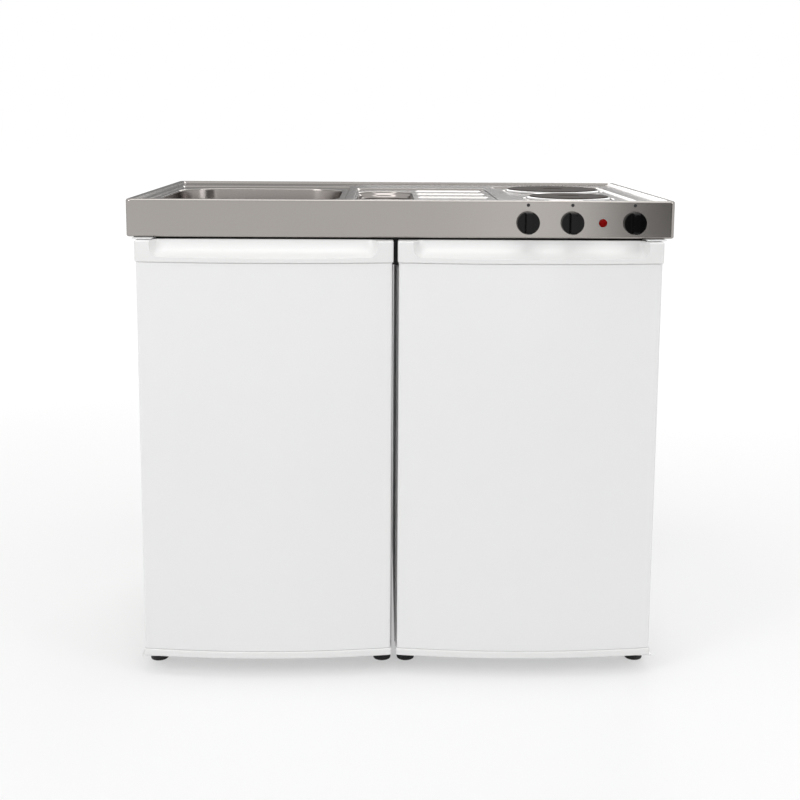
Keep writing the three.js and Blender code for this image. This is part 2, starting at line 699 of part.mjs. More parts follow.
/** The bottle trap below the waste, its outlet pipe to the wall, and its cup. */
function buildTrap(group) {
  const { radius, body, collar, pipe, pipeBore } = TRAP;
  const top = -TRAP.drop;
  const bottom = top - body;
  const pipeZ = top - TRAP.pipeDrop;
  const socket = WASTE.tail + 3 * SEAT;
  const inletDepth = 24;
  const tailEnd = -WASTE.tailDepth;
  const seatZ = tailEnd - SEAT;
  const shell = turned(
    [
      [0, bottom],
      [radius - 4, bottom],
      [radius, bottom + 3],
      [radius, top],
      [collar - 3, top + 5],
      [collar - 3, seatZ - 2],
      [collar, seatZ],
      [collar, seatZ + inletDepth],
      [socket, seatZ + inletDepth],
      [socket, seatZ],
      [0, seatZ],
    ],
    16,
  );
  const pipeEnd = backY - 8 - bowl.y;
  const outlet = cut(
    rod(0, pipeZ, radius - 6, pipeEnd, pipe, 12),
    rod(0, pipeZ, pipeEnd - 40, pipeEnd + 1, pipeBore, 12),
  );
  const collarNut = rod(0, pipeZ, radius - 4, radius + 14, pipe + 6, 12);
  const spigot = cut(
    bar(radius - 6, radius + 26, 0, pipeZ, SIDE_WASTE.spigot, 12),
    bar(radius + 6, radius + 27, 0, pipeZ, SIDE_WASTE.pipe + 3 * SEAT, 12),
  );
  place(group, "trap_body", join(shell, outlet, collarNut, spigot), FINISH.whitePlastic);

  const cupTop = bottom - SEAT;
  const cup = turned(
    [
      [0, cupTop - TRAP.cup],
      [radius - 10, cupTop - TRAP.cup],
      [radius - 2, cupTop - TRAP.cup + 8],
      [radius + 3, cupTop - 14],
      [radius + 3, cupTop],
      [0, cupTop],
    ],
    12,
  );
  place(group, "trap_cup", cup, FINISH.whitePlastic);
}

/** The side bowl's small waste cup and the bent pipe from it to the trap. */
function buildSideWaste(group) {
  const x = sideBowl.x + SIDE_HOLE.offset;
  const top = sideBowl.floor - STEEL - SEAT;
  const { cup, cupDepth, pipe } = SIDE_WASTE;
  const bottom = top - cupDepth;
  const cupShape = cut(
    loft([
      { z: bottom - 6, outline: circle(x, sideBowl.y, pipe + 3, 12) },
      { z: bottom + 4, outline: circle(x, sideBowl.y, cup, 12) },
      { z: top, outline: circle(x, sideBowl.y, cup, 12) },
    ]),
    loft([
      { z: bottom + 6, outline: circle(x, sideBowl.y, cup - 3, 12) },
      { z: top + 1, outline: circle(x, sideBowl.y, cup - 2, 12) },
    ]),
  );
  const inletX = bowl.x + TRAP.radius + 6 + SEAT;
  const route = bentPath(
    [
      [x, sideBowl.y, bottom],
      [x, sideBowl.y, trapPipeZ + 75],
      [inletX + 70, bowl.y, trapPipeZ],
      [inletX, bowl.y, trapPipeZ],
    ],
    40,
  );
  place(group, "side_waste_pipe", join(cupShape, tube(route, pipe, 8)), FINISH.greyPlastic);
}

function buildSink(parent) {
  buildSinkBowl(parent);
  buildSideBowl(parent);
  const drain = groupAt(parent, bowl.x, bowl.y, bowl.floor);
  buildWaste(drain);
  buildBasket(drain);
  buildTrap(drain);
  buildSideWaste(parent);
}

// ---------------------------------------------------------------- hob

/** A cast-iron plate with a rim, a shallow centre recess, its body and its fixing stud. */
function buildPlate(group, name, plate) {
  const { proud, rimEdge, body, bodyDepth, recess, stud } = PLATE;
  const r = plate.radius;
  const made = turned(
    [
      [0, -bodyDepth - 26],
      [stud, -bodyDepth - 26],
      [stud, -bodyDepth],
      [r - body, -bodyDepth],
      [r - body, proud - rimEdge],
      [r - 1.5, proud - rimEdge],
      [r, proud - rimEdge + 1],
      [r, proud - 1.2],
      [r - 1.5, proud],
      [recess + 2, proud],
      [recess, proud - 1.2],
      [0, proud - 1.2],
    ],
    28,
  );
  place(group, name + "_hotplate", made, FINISH.castIron);

  const { width, height, under, sheet } = SPILL_RING;
  const ring = turnedRing(
    [
      [r - under, SEAT],
      [r + width, SEAT],
      [r + width - 0.4, SEAT + 0.9],
      [r + 0.55 * width, SEAT + 0.85 * height],
      [r + 0.25 * width, SEAT + height],
      [r + SEAT + 0.3, SEAT + 0.8 * height],
      [r + SEAT, SEAT + sheet],
      [r - under, SEAT + sheet],
    ],
    28,
  );
  place(group, name + "_spill_ring", ring, FINISH.chrome);

  const foot = plateHole(plate) + CLAMP.foot;
  const leg = plateHole(plate) + 1;
  const top = -STEEL - SEAT;
  const low = -bodyDepth - CLAMP.dip;
  const t = CLAMP.sheet;
  const hat = profileAlongY(
    [
      [-foot, top - t],
      [-leg, top - t],
      [-leg, low - t],
      [leg, low - t],
      [leg, top - t],
      [foot, top - t],
      [foot, top],
      [leg - t, top],
      [leg - t, low],
      [-leg + t, low],
      [-leg + t, top],
      [-foot, top],
    ],
    -CLAMP.width / 2,
    CLAMP.width / 2,
  );
  const studHole = post(0, 0, low - t - 1, low + 1, stud + SEAT, 16);
  place(group, name + "_clamp", cut(hat, studHole), FINISH.galvanised);
}

/** The galvanised tray that closes the hob from below, with its cable gland at the back. */
function buildHobTray(group) {
  const { inset, insetY, depth, sheet, flange } = HOB_TRAY;
  const [x0, x1] = [hobField.x0 + inset, hobField.x1 - inset];
  const [y0, y1] = [hobField.y0 + insetY, hobField.y1 - insetY + 6];
  const top = underZ - SEAT;
  const outline = (grow, radius) => roundedOutline(x0 - grow, x1 + grow, y0 - grow, y1 + grow, radius, 2);
  const shell = cut(
    join(
      prism(outline(0, 8), top - depth, top),
      prism(outline(flange, 8), top - sheet, top),
    ),
    prism(outline(-sheet, 7), top - depth + sheet, top + 1),
  );
  const [glandX, glandZ] = [x0 + 44, top - depth / 2];
  const gland = cut(
    join(rod(glandX, glandZ, y1 - sheet / 2, y1 + 12, 9, 6), rod(glandX, glandZ, y1 + 12, y1 + 20, 7, 12)),
    rod(glandX, glandZ, y1 - 3, y1 + 21, 4, 10),
  );
  const wireHole = rod(glandX, glandZ, y1 - 3, y1 + 3, 4, 10);
  place(group, "hob_tray", join(cut(shell, wireHole), gland), FINISH.galvanised);
}

/** A control knob: a round skirt with a raised grip bar, on the spindle that it turns. */
function buildKnob(group, name, x) {
  const { radius, height, base, bar: grip, hollow, hollowDepth } = KNOB;
  const bodyShape = turned(
    [
      [0, hollowDepth],
      [hollow, hollowDepth],
      [hollow, 0],
      [radius - 0.8, 0],
      [radius, 0.8],
      [radius, base * 0.6],
      [radius - 1, height - 3],
      [radius - 4, height],
      [0, height],
    ],
    20,
  );
  const scoops = [-1, 1].map((side) => {
    const centre = side * (grip / 2 + radius);
    const scoop = loft([
      { z: base, outline: roundedOutline(centre - radius + 2.2, centre + radius, -40, 40, 1, 1) },
      { z: base + 3, outline: roundedOutline(centre - radius + 0.6, centre + radius, -40, 40, 1, 1) },
      { z: height + 1, outline: roundedOutline(centre - radius, centre + radius, -40, 40, 1, 1) },
    ]);
    return scoop;
  });
  const spindle = post(0, 0, -KNOB.gap - STEEL - SWITCH.spindleDepth, hollowDepth + 1, CONTROL.spindle, 12);
  const knob = place(
    group,
    name + "_knob",
    join(cut(bodyShape, ...scoops), spindle),
    FINISH.blackPlastic,
    [x, frontY - KNOB.gap, controlZ],
  );
  knob.rotation.x = Math.PI / 2;
}

/** A rotary switch behind the apron, with its threaded bush through the sheet. */
function buildSwitch(group, name, x) {
  const y = frontY + STEEL + SEAT;
  const { width, height, depth, spindleDepth } = SWITCH;
  const body = box(-width / 2, width / 2, 0, depth, -height / 2, height / 2);
  const bush = rod(0, 0, -STEEL - SEAT - CONTROL.bushProud, 1, CONTROL.bush, 16);
  const bore = rod(0, 0, -10, spindleDepth + 3, CONTROL.spindleBore, 16);
  const terminals = [-1, 1].map((side) =>
    box(side * 11 - 3, side * 11 + 3, depth - 1, depth + 7, -12, 12),
  );
  const made = join(cut(join(body, bush), bore), ...terminals);
  place(group, name + "_switch", made, FINISH.greyPlastic, [x, y, controlZ]);
}

function buildPilotLamp(group) {
  const { lens, bezel, body, length } = LAMP;
  const made = turned(
    [
      [0, -length],
      [body, -length],
      [body, SEAT],
      [bezel, SEAT],
      [bezel, SEAT + 1],
      [lens + 0.4, SEAT + 1.6],
      [lens, SEAT + 1.6],
      [lens * 0.8, SEAT + 3],
      [0, SEAT + 3.8],
    ],
    12,
  );
  const lamp = place(group, "pilot_lamp", made, FINISH.redLens, [lampX, frontY, controlZ]);
  lamp.rotation.x = Math.PI / 2;
}

function buildHob(parent) {
  for (const [name, plate] of [["rear", rearPlate], ["front", frontPlate]])
    buildPlate(groupAt(parent, plate.x, plate.y, fieldZ), name, plate);
  buildHobTray(parent);
  for (const { name, fromRight } of KNOBS) {
    buildKnob(parent, name, rightX - fromRight);
    buildSwitch(parent, name, rightX - fromRight);
  }
  buildPilotLamp(parent);
}

// ---------------------------------------------------------------- frame, cabinet and feet

/** The welded frame of upright rails that carries the worktop over both base units. */
function buildFrame(group) {
  const [x0, x1, y0, y1] = [cabinet.x0, fridge.x1, frameFront, frameBack];
  const r = FRAME.rail;
  const whole = box(x0, x1, y0, y1, frameBottom, frameTop);
  const middle = cabinet.x1 - CABINET.side / 2;
  const leftBay = box(x0 + r, middle - r / 2, y0 + r, y1 - r, frameBottom - 1, frameTop + 1);
  const rightBay = box(middle + r / 2, x1 - r, y0 + r, y1 - r, frameBottom - 1, frameTop + 1);
  place(group, "support_frame", cut(whole, leftBay, rightBay), FINISH.blackSteel);
}

/** A levelling foot: a ribbed pad on a threaded stem. */
function footShape(height) {
  const { radius, stem, pad } = FOOT;
  return turned(
    [
      [0, 0],
      [radius - 2, 0],
      [radius, 2],
      [radius, pad],
      [radius - 5, pad + 4],
      [stem + 2, pad + 5],
      [stem + 2, height - 5],
      [radius - 4, height - 4],
      [radius - 4, height],
      [0, height],
    ],
    10,
  );
}

const bracketBottom = BASE.bottom - SEAT - HINGE.leaf; // underside of a bottom hinge leaf

function buildCabinet(parent) {
  const { x0, x1 } = cabinet;
  const { side, back, groove, shelfZ, shelfSetBack, pipeHole } = CABINET;
  const [y0, y1] = [caseFront, frameBack];
  const [z0, z1] = [BASE.bottom, baseTop];
  const inner = { x0: x0 + side, x1: x1 - side };
  const board = side;
  const shelfY0 = y0 + shelfSetBack;
  const backFront = y1 - back;

  // Grooves for the floor, the shelf and the back, in both sides.
  const grooves = (face, direction) => {
    const [a, b] = direction > 0 ? [face, face + groove] : [face - groove, face];
    return [
      box(a - (direction < 0 ? 0 : 1), b + (direction < 0 ? 1 : 0), y0 + 10, y1 + 1, z0 + 6 - SEAT, z0 + 6 + board + SEAT),
      box(
        a - (direction < 0 ? 0 : 1), b + (direction < 0 ? 1 : 0),
        shelfY0 - SEAT, backFront + SEAT, shelfZ - SEAT, shelfZ + board + SEAT,
      ),
      box(
        a - (direction < 0 ? 0 : 1), b + (direction < 0 ? 1 : 0),
        backFront - SEAT, y1 + 1, z0 + 6 + board, z1 + 1,
      ),
    ];
  };
  const foot = (x) => footShape(z0 + 1).translate([x, y1 - FOOT.fromBack, 0]);
  const leftBoard = cut(box(x0, inner.x0, y0, y1, z0, z1), ...grooves(inner.x0, -1));
  const rightBoard = cut(box(inner.x1, x1, y0, y1, z0, z1), ...grooves(inner.x1, 1));
  const leftSide = join(leftBoard, foot(x0 + FOOT.fromSide));
  const rightSide = join(rightBoard, foot(x1 - FOOT.fromSide));
  place(parent, "cabinet_left_side", leftSide, FINISH.whiteBoard);
  place(parent, "cabinet_right_side", rightSide, FINISH.whiteBoard);

  const reach = groove - SEAT;
  const floor = join(
    box(inner.x0 - reach, inner.x1 + reach, y0 + 10 + SEAT, y1 - SEAT, z0 + 6, z0 + 6 + board),
    box(inner.x0 + SEAT, inner.x1 - SEAT, y0, y0 + 11, z0, z0 + 6 + board),
  );
  place(parent, "cabinet_floor", floor, FINISH.whiteBoard);
  const shelf = box(inner.x0 - reach, inner.x1 + reach, shelfY0, backFront - SEAT, shelfZ, shelfZ + board);
  place(parent, "cabinet_shelf", shelf, FINISH.whiteBoard);
  const panel = cut(
    box(inner.x0 - reach, inner.x1 + reach, backFront, y1 - SEAT, z0 + 6 + board + SEAT, z1 - SEAT),
    rod(bowl.x, trapPipeZ, backFront - 1, y1 + 1, pipeHole, 12),
  );
  place(parent, "cabinet_back", panel, FINISH.whiteBoard);
}

function buildFeet(parent) {
  const { fromFront, fromSide } = FOOT;
  const front = caseFront + fromFront;
  const onHinge = bracketBottom - SEAT;
  const onBoard = BASE.bottom - SEAT;
  const feet = [
    ["cabinet_foot_front_left", cabinet.x0 + fromSide, front, onHinge],
    ["cabinet_foot_front_right", cabinet.x1 - fromSide, front, onBoard],
    ["fridge_foot_front_left", fridge.x0 + fromSide + 4, front, onBoard],
    ["fridge_foot_front_right", fridge.x1 - fromSide, front, onHinge],
  ];
  for (const [name, x, y, height] of feet)
    place(parent, name, footShape(height), FINISH.blackPlastic, [x, y, 0]);
}

// ---------------------------------------------------------------- refrigerator

/** A box-shaped interior with a step at the low back for the compressor, grown by a distance. */
function interior(grow, frontY0) {
  const { wall, floor, back, depth, recessDepth, recessHeight } = FRIDGE;
  const [x0, x1] = [fridge.x0 + wall - grow, fridge.x1 - wall + grow];
  const top = baseTop - wall + grow;
  const backWall = caseFront + depth - back + grow;
  const stepY = caseFront + depth - recessDepth - back + grow;
  const stepZ = BASE.bottom + recessHeight + back - grow;
  return join(
    box(x0, x1, frontY0, stepY, BASE.bottom + floor - grow, top),
    box(x0, x1, frontY0, backWall, stepZ, top),
  );
}

const inside = {
  x0: fridge.x0 + FRIDGE.wall + SEAT + FRIDGE.liner,
  x1: fridge.x1 - FRIDGE.wall - SEAT - FRIDGE.liner,
  floor: BASE.bottom + FRIDGE.floor + SEAT + FRIDGE.liner,
  top: baseTop - FRIDGE.wall - SEAT - FRIDGE.liner,
  back: caseFront + FRIDGE.depth - FRIDGE.back - SEAT - FRIDGE.liner,
  step: caseFront + FRIDGE.depth - FRIDGE.recessDepth - FRIDGE.back - SEAT - FRIDGE.liner,
};
const iceBottom = inside.top - SEAT - ICE_BOX.height;
const lowerShelfZ = inside.floor + SEAT + CRISPER.height + SHELF.overCrisper;
const upperShelfZ = lowerShelfZ + SHELF.upperShare * (iceBottom - lowerShelfZ);
const thermostatZ = iceBottom - THERMOSTAT.drop;

function buildFridgeCase(parent) {
  const { depth, wall, recessDepth, recessHeight } = FRIDGE;
  const whole = box(fridge.x0, fridge.x1, caseFront, caseFront + depth, BASE.bottom, baseTop);
  const recess = box(
    fridge.x0 + wall, fridge.x1 - wall,
    caseFront + depth - recessDepth, caseFront + depth + 1,
    BASE.bottom - 1, BASE.bottom + recessHeight,
  );
  place(parent, "fridge_case", cut(whole, interior(0, caseFront - 1), recess), FINISH.whiteSteel);

  const shell = cut(
    interior(-SEAT, caseFront + 1),
    interior(-SEAT - FRIDGE.liner, caseFront - 1),
  );
  const runners = [lowerShelfZ, upperShelfZ].flatMap((z) =>
    [
      [inside.x0 - 1, inside.x0 + RUNNER.width],
      [inside.x1 - RUNNER.width, inside.x1 + 1],
    ].map(([a, b]) => box(a, b, caseFront + RUNNER.front, inside.back - 12, z - SEAT - RUNNER.height, z - SEAT)),
  );
  place(parent, "fridge_liner", join(shell, ...runners), FINISH.whitePlastic);
}

/** A glass shelf with a moulded trim along its front edge. */
function buildShelf(parent, name, z) {
  const [x0, x1] = [inside.x0 + SHELF.side, inside.x1 - SHELF.side];
  const y0 = caseFront + SHELF.front;
  const plate = box(x0, x1, y0, inside.back - SHELF.back, z, z + SHELF.thickness);
  const trim = profileAlongX(
    [
      [y0 - 4, z],
      [y0 + SHELF.trim, z],
      [y0 + SHELF.trim, z + SHELF.thickness + 2],
      [y0 - 2, z + SHELF.thickness + 2],
      [y0 - 4, z + SHELF.thickness],
    ],
    x0 + RUNNER.width,
    x1 - RUNNER.width,
  );
  place(parent, name, join(plate, trim), FINISH.glass);
}

function buildCrisper(parent) {
  const { front, depth, height, wall, side, taper } = CRISPER;
  const [x0, x1] = [inside.x0 + side, inside.x1 - side];
  const [y0, y1] = [caseFront + front, caseFront + front + depth];
  const z0 = inside.floor + SEAT;
  const outline = (grow) => roundedOutline(x0 - grow, x1 + grow, y0 - grow, y1 + grow, 12, 2);
  const body = cut(
    loft([
      { z: z0, outline: outline(-taper) },
      { z: z0 + height, outline: outline(0) },
    ]),
    loft([
      { z: z0 + wall, outline: outline(-taper - wall) },
      { z: z0 + height + 1, outline: outline(-wall) },
    ]),
  );
  const middle = (x0 + x1) / 2;
  const handle = profileAlongX(
    [
      [y0 + 1, z0 + height],
      [y0 - 9, z0 + height - 3],
      [y0 - 9, z0 + height - 6],
      [y0 + 1, z0 + height - 4],
    ],
    middle - 70,
    middle + 70,
  );
  place(parent, "crisper_drawer", join(body, handle), FINISH.clearPlastic);
}

/** The evaporator box under the ceiling, open in front, with ears that hold its flap. */
function buildIceBox(parent) {
  const { height, front, depth, wall, side, flapGap, flap } = ICE_BOX;
  const { radius, bore, lug, inset } = FLAP_PIN;
  const [x0, x1] = [inside.x0 + side, inside.x1 - side];
  const y0 = caseFront + front;
  const z1 = inside.top - SEAT;
  const z0 = z1 - height;
  const axisY = y0 - lug / 2;
  const axisZ = z1 - inset - lug / 2;
  const shell = cut(
    box(x0, x1, y0, y0 + depth, z0, z1),
    box(x0 + wall, x1 - wall, y0 - 1, y0 + depth - wall, z0 + wall, z1 - wall),
  );
  const ears = [x0, x1 - wall * 2].map((x) =>
    cut(
      box(x, x + wall * 2, y0 - lug, y0 + 1, axisZ - lug / 2, axisZ + lug / 2),
      bar(x - 1, x + wall * 2 + 1, axisY, axisZ, bore, 8),
    ),
  );
  place(parent, "ice_box", join(shell, ...ears), FINISH.aluminium);

  const flapX0 = x0 + wall * 2 + flapGap;
  const flapX1 = x1 - wall * 2 - flapGap;
  const low = z0 + 3 - axisZ;
  const leaf = profileAlongX(
    [
      [-flap / 2, radius + 1],
      [-flap / 2 - 0.5, low + 6],
      [-flap / 2 - 5, low],
      [-flap / 2 - 3, low],
      [flap / 2, low + 8],
      [flap / 2, radius + 1],
    ],
    flapX0,
    flapX1,
  );
  const pins = [
    bar(flapX0 - wall * 2 - flapGap + 0.5, flapX0 + 2, 0, 0, radius, 8),
    bar(flapX1 - 2, flapX1 + wall * 2 + flapGap - 0.5, 0, 0, radius, 8),
  ];
  place(parent, "ice_box_flap", join(leaf, ...pins), FINISH.clearPlastic, [0, axisY, axisZ]);
}

function buildThermostat(parent) {
  const { y, length, height, width, dial, dialWidth, spindle } = THERMOSTAT;
  const z = thermostatZ;
  const face = inside.x1 - SEAT - width;
  const y0 = caseFront + y;
  const dialY = y0 + dial + 8;
  const housing = cut(
    profileAlongX(
      [
        [y0, z - height / 2 + 6],
        [y0 + 6, z - height / 2],
        [y0 + length, z - height / 2],
        [y0 + length, z + height / 2],
        [y0 + 6, z + height / 2],
        [y0, z + height / 2 - 6],
      ],
      face,
      inside.x1 - SEAT,
    ),
    bar(face - 1, face + 12, dialY, z, spindle + SEAT, 12),
  );
  place(parent, "thermostat_housing", housing, FINISH.whitePlastic);
  const knurl = Array.from({ length: 20 }, (_, i) => {
    const angle = (i / 20) * 2 * Math.PI;
    const r = i % 2 ? dial : dial - 1.2;
    return [r * Math.cos(angle), r * Math.sin(angle)];
  });
  const wheel = prism(knurl, SEAT * 2, dialWidth);
  const grip = box(-dial + 4, dial - 4, -1.6, 1.6, dialWidth - 1, dialWidth + 4);
  const made = join(wheel, grip, post(0, 0, -10, 2, spindle, 12));
  const mesh = place(parent, "thermostat_dial", made, FINISH.greyPlastic, [face, dialY, z]);
  mesh.rotation.y = -Math.PI / 2;
}

/** The compressor on its tray, and the wire-hung condenser coil up the back. */
function buildCooling(parent) {
  const { radius, height, x, y, base } = COMPRESSOR;
  const backPlane = caseFront + FRIDGE.depth;
  const { sheet, inset, footX, footY } = COMPRESSOR_TRAY;
  const trayZ = BASE.bottom - SEAT;
  const tray = join(
    box(
      fridge.x0 + inset, fridge.x1 - inset, backPlane - FRIDGE.recessDepth + inset, backPlane - 2,
      trayZ - sheet, trayZ,
    ),
    ...[fridge.x0 + inset + footX, fridge.x1 - inset - footX].map((footAt) =>
      post(footAt, backPlane - footY, 0, trayZ - sheet / 2, FOOT.radius, 12),
    ),
  );
  place(parent, "compressor_tray", tray, FINISH.galvanised);

  const shell = turned(
    [
      [0, 8],
      [radius - 22, 8],
      [radius - 4, 18],
      [radius, 40],
      [radius, 64],
      [radius + 3, 66],
      [radius + 3, 72],
      [radius, 74],
      [radius - 2, height - 40],
      [radius - 16, height - 14],
      [radius - 38, height],
      [0, height],
    ],
    14,
  );
  const plate = cut(
    box(-base, base, -radius * 0.6, radius * 0.6, 0, 3),
    box(-12, 12, -radius, -radius * 0.4, -1, 4),
  );
  const mount = join(plate, post(0, 0, 2, 12, radius * 0.5, 12));
  const motor = join(shell, mount, box(radius - 6, radius + 14, -16, 16, 30, 60));
  place(parent, "compressor", motor, FINISH.blackSteel, [fridge.x0 + x, backPlane - y, trayZ + SEAT]);

  const { tube: bore, runs, pitch, side, bottom, offset, strap } = CONDENSER;
  const [x0, x1] = [fridge.x0 + side, fridge.x1 - side];
  const yPlane = backPlane + offset;
  const bend = pitch / 2;
  const path = [];
  for (let i = 0; i < runs; i++) {
    const z = bottom + i * pitch;
    const forward = i % 2 === 0;
    const [from, to] = forward ? [x0 + bend, x1 - bend] : [x1 - bend, x0 + bend];
    path.push([from, yPlane, z], [to, yPlane, z]);
    if (i + 1 === runs) break;
    for (let k = 1; k < 3; k++) {
      const angle = -Math.PI / 2 + (k / 3) * Math.PI;
      const out = bend * Math.cos(angle) * (forward ? 1 : -1);
      path.push([to + out, yPlane, z + bend + bend * Math.sin(angle)]);
    }
  }
  const top = bottom + (runs - 1) * pitch;
  const straps = [0.25, 0.75].map((share) => {
    const at = x0 + share * (x1 - x0);
    return join(
      box(at - strap / 2, at + strap / 2, yPlane - 1, yPlane + 1, bottom - 12, top + 12),
      box(at - strap / 2, at + strap / 2, backPlane + SEAT, yPlane, bottom + 18, bottom + 30),
      box(at - strap / 2, at + strap / 2, backPlane + SEAT, yPlane, top - 30, top - 18),
    );
  });
  place(parent, "condenser", join(tube(path, bore, 5), ...straps), FINISH.blackSteel);
}

function buildFridge(parent) {
  buildFridgeCase(parent);
  buildShelf(parent, "lower_shelf", lowerShelfZ);
  buildShelf(parent, "upper_shelf", upperShelfZ);
  buildCrisper(parent);
  buildIceBox(parent);
  buildThermostat(parent);
  buildCooling(parent);
}

// ---------------------------------------------------------------- doors and hinges

/** A door's plan outline in its own frame: flat back, straight sides, bowed front. */
function doorOutline(door, inset) {
  const [x0, x1] = [door.x0 + inset, door.x1 - inset];
  const half = (x1 - x0) / 2;
  const middle = (x0 + x1) / 2;
  const back = doorBack - pinY;
  const front = doorFront - pinY + inset;
  const radius = (half * half + DOOR.bow * DOOR.bow) / (2 * DOOR.bow);
  const bowAt = (x) => front + radius - DOOR.bow - Math.sqrt(radius * radius - (x - middle) ** 2);
  const c = DOOR.corner;
  const points = [[x1, back], [x0, back], [x0, front + c], [x0 + 0.3 * c, front + 0.3 * c]];
  const steps = 8;
  for (let i = 0; i <= steps; i++) {
    const x = x0 + c + ((x1 - x0 - 2 * c) * i) / steps;
    points.push([x, bowAt(x)]);
  }
  points.push([x1 - 0.3 * c, front + 0.3 * c], [x1, front + c]);
  return points;
}

/** The cutter for a grip: a hollow that sweeps back and up, with rounded, tapering ends. */
function gripCutter(door) {
  const { inset, height, depth, corner, taper } = GRIP;
  const [x0, x1] = [door.x0 + inset, door.x1 - inset];
  const z0 = doorTop - height;
  const front = doorFront - pinY - DOOR.bow - 1;
  const reach = DOOR.bow + depth + 1;
  const steps = 6;
  const sweep = [[front, doorTop + 5], [front, z0]];
  const curve = new THREE.CubicBezierCurve(
    new THREE.Vector2(front, z0),
    new THREE.Vector2(front + 0.62 * reach, z0 + 0.06 * height),
    new THREE.Vector2(front + 0.86 * reach, z0 + 0.35 * height),
    new THREE.Vector2(front + reach, doorTop + 1),
  );
  for (const p of curve.getPoints(steps).slice(1)) sweep.push([p.x, p.y]);
  sweep.push([front + reach, doorTop + 5]);
  const along = profileAlongX([...sweep].reverse(), x0 - 1, x1 + 1);
  // The ends: a rounded outline that draws in towards the back.
  const outline = (grow) => roundedOutline(x0 - grow, x1 + grow, -(doorTop + 60), -(z0 - grow), corner, 4);
  const turnUp = new THREE.Matrix4().makeRotationX(-Math.PI / 2);
  const ends = loft([
    { z: front - 1, outline: outline(0) },
    { z: front + DOOR.bow, outline: outline(0) },
    { z: front + reach + 1, outline: outline(-taper) },
  ]);
  const turnedEnds = ends.transform(turnUp.elements);
  return along.intersect(turnedEnds);
}

/** One door: sheet panel over foam, moulded caps, inner liner; group origin on its hinge axis. */
function buildDoor(parent, name, door) {
  const outline = (inset) => doorOutline(door, inset);
  const { capProud, groove, edge, bottomCap, topCap, bottom } = DOOR;
  const panelTop = doorTop - topCap - SEAT;
  const panelBottom = bottom + bottomCap + SEAT;
  const panel = loft([
    { z: panelBottom, outline: outline(capProud) },
    { z: panelTop, outline: outline(capProud) },
  ]);
  place(parent, name + "_panel", panel, FINISH.whiteSteel);

  const top = loft([
    { z: panelTop + SEAT, outline: outline(groove) },
    { z: panelTop + SEAT + groove, outline: outline(0) },
    { z: doorTop - edge, outline: outline(0) },
    { z: doorTop - 0.3 * edge, outline: outline(0.3 * edge) },
    { z: doorTop, outline: outline(edge) },
  ]);
  const topBore = post(0, 0, doorTop - HINGE_PIN.top - 2, doorTop + 1, HINGE.bore, 12);
  place(parent, name + "_top_cap", cut(top, gripCutter(door), topBore), FINISH.whitePlastic);

  const low = loft([
    { z: bottom, outline: outline(edge) },
    { z: bottom + 0.3 * edge, outline: outline(0.3 * edge) },
    { z: bottom + edge, outline: outline(0) },
    { z: panelBottom - SEAT - groove, outline: outline(0) },
    { z: panelBottom - SEAT, outline: outline(groove) },
  ]);
  const lowBore = post(0, 0, bottom - 1, bottom + HINGE_PIN.bottom + 1, HINGE.bore, 12);
  place(parent, name + "_bottom_cap", cut(low, lowBore), FINISH.whitePlastic);
}

/** The space inside a door's seal, in the door's own frame. */
function sealFrame(door) {
  return {
    x0: door.x0 + SEAL.inset,
    x1: door.x1 - SEAL.inset,
    z0: DOOR.bottom + SEAL.bottom,
    z1: doorTop - SEAL.top,
    y0: doorBack - pinY + SEAT,
    y1: caseFront - pinY - SEAT,
  };
}

/** A hollow rectangular frame that stands on the door's back face. */
function sealRing(door, width) {
  const { x0, x1, y0, y1, z0, z1 } = sealFrame(door);
  return cut(
    box(x0, x1, y0, y1, z0, z1),
    box(x0 + width, x1 - width, y0 - 1, y1 + 1, z0 + width, z1 - width),
  );
}

/** A moulded rack between the door's dykes: floor, front, back and ends, open above. */
function rackShape(x0, x1, y0, rack) {
  const { wall } = RACK;
  const [y1, z0, z1] = [y0 + rack.depth, rack.z, rack.z + rack.height];
  const tray = cut(
    prism(roundedOutline(x0, x1, y0, y1, 8, 2), z0, z1),
    prism(roundedOutline(x0 + wall, x1 - wall, y0 + wall, y1 - wall, 6, 2), z0 + wall, z1 + 1),
  );
  const lowBack = box(x0 + 12, x1 - 12, y0 - 1, y0 + wall + 1, z0 + 0.45 * rack.height, z1 + 1);
  return cut(tray, lowBack);
}

function buildLeftDoor(parent, door) {
  buildDoor(parent, "left_door", door);
  const { x0, x1, y0, z0, z1 } = sealFrame(door);
  const plate = box(x0 + SEAL.width / 2, x1 - SEAL.width / 2, y0, y0 + LINER_PLATE / 2, z0 + 2, z1 - 2);
  const liner = join(plate, sealRing(door, SEAL.width));
  place(parent, "left_door_liner", liner, FINISH.whitePlastic);
}

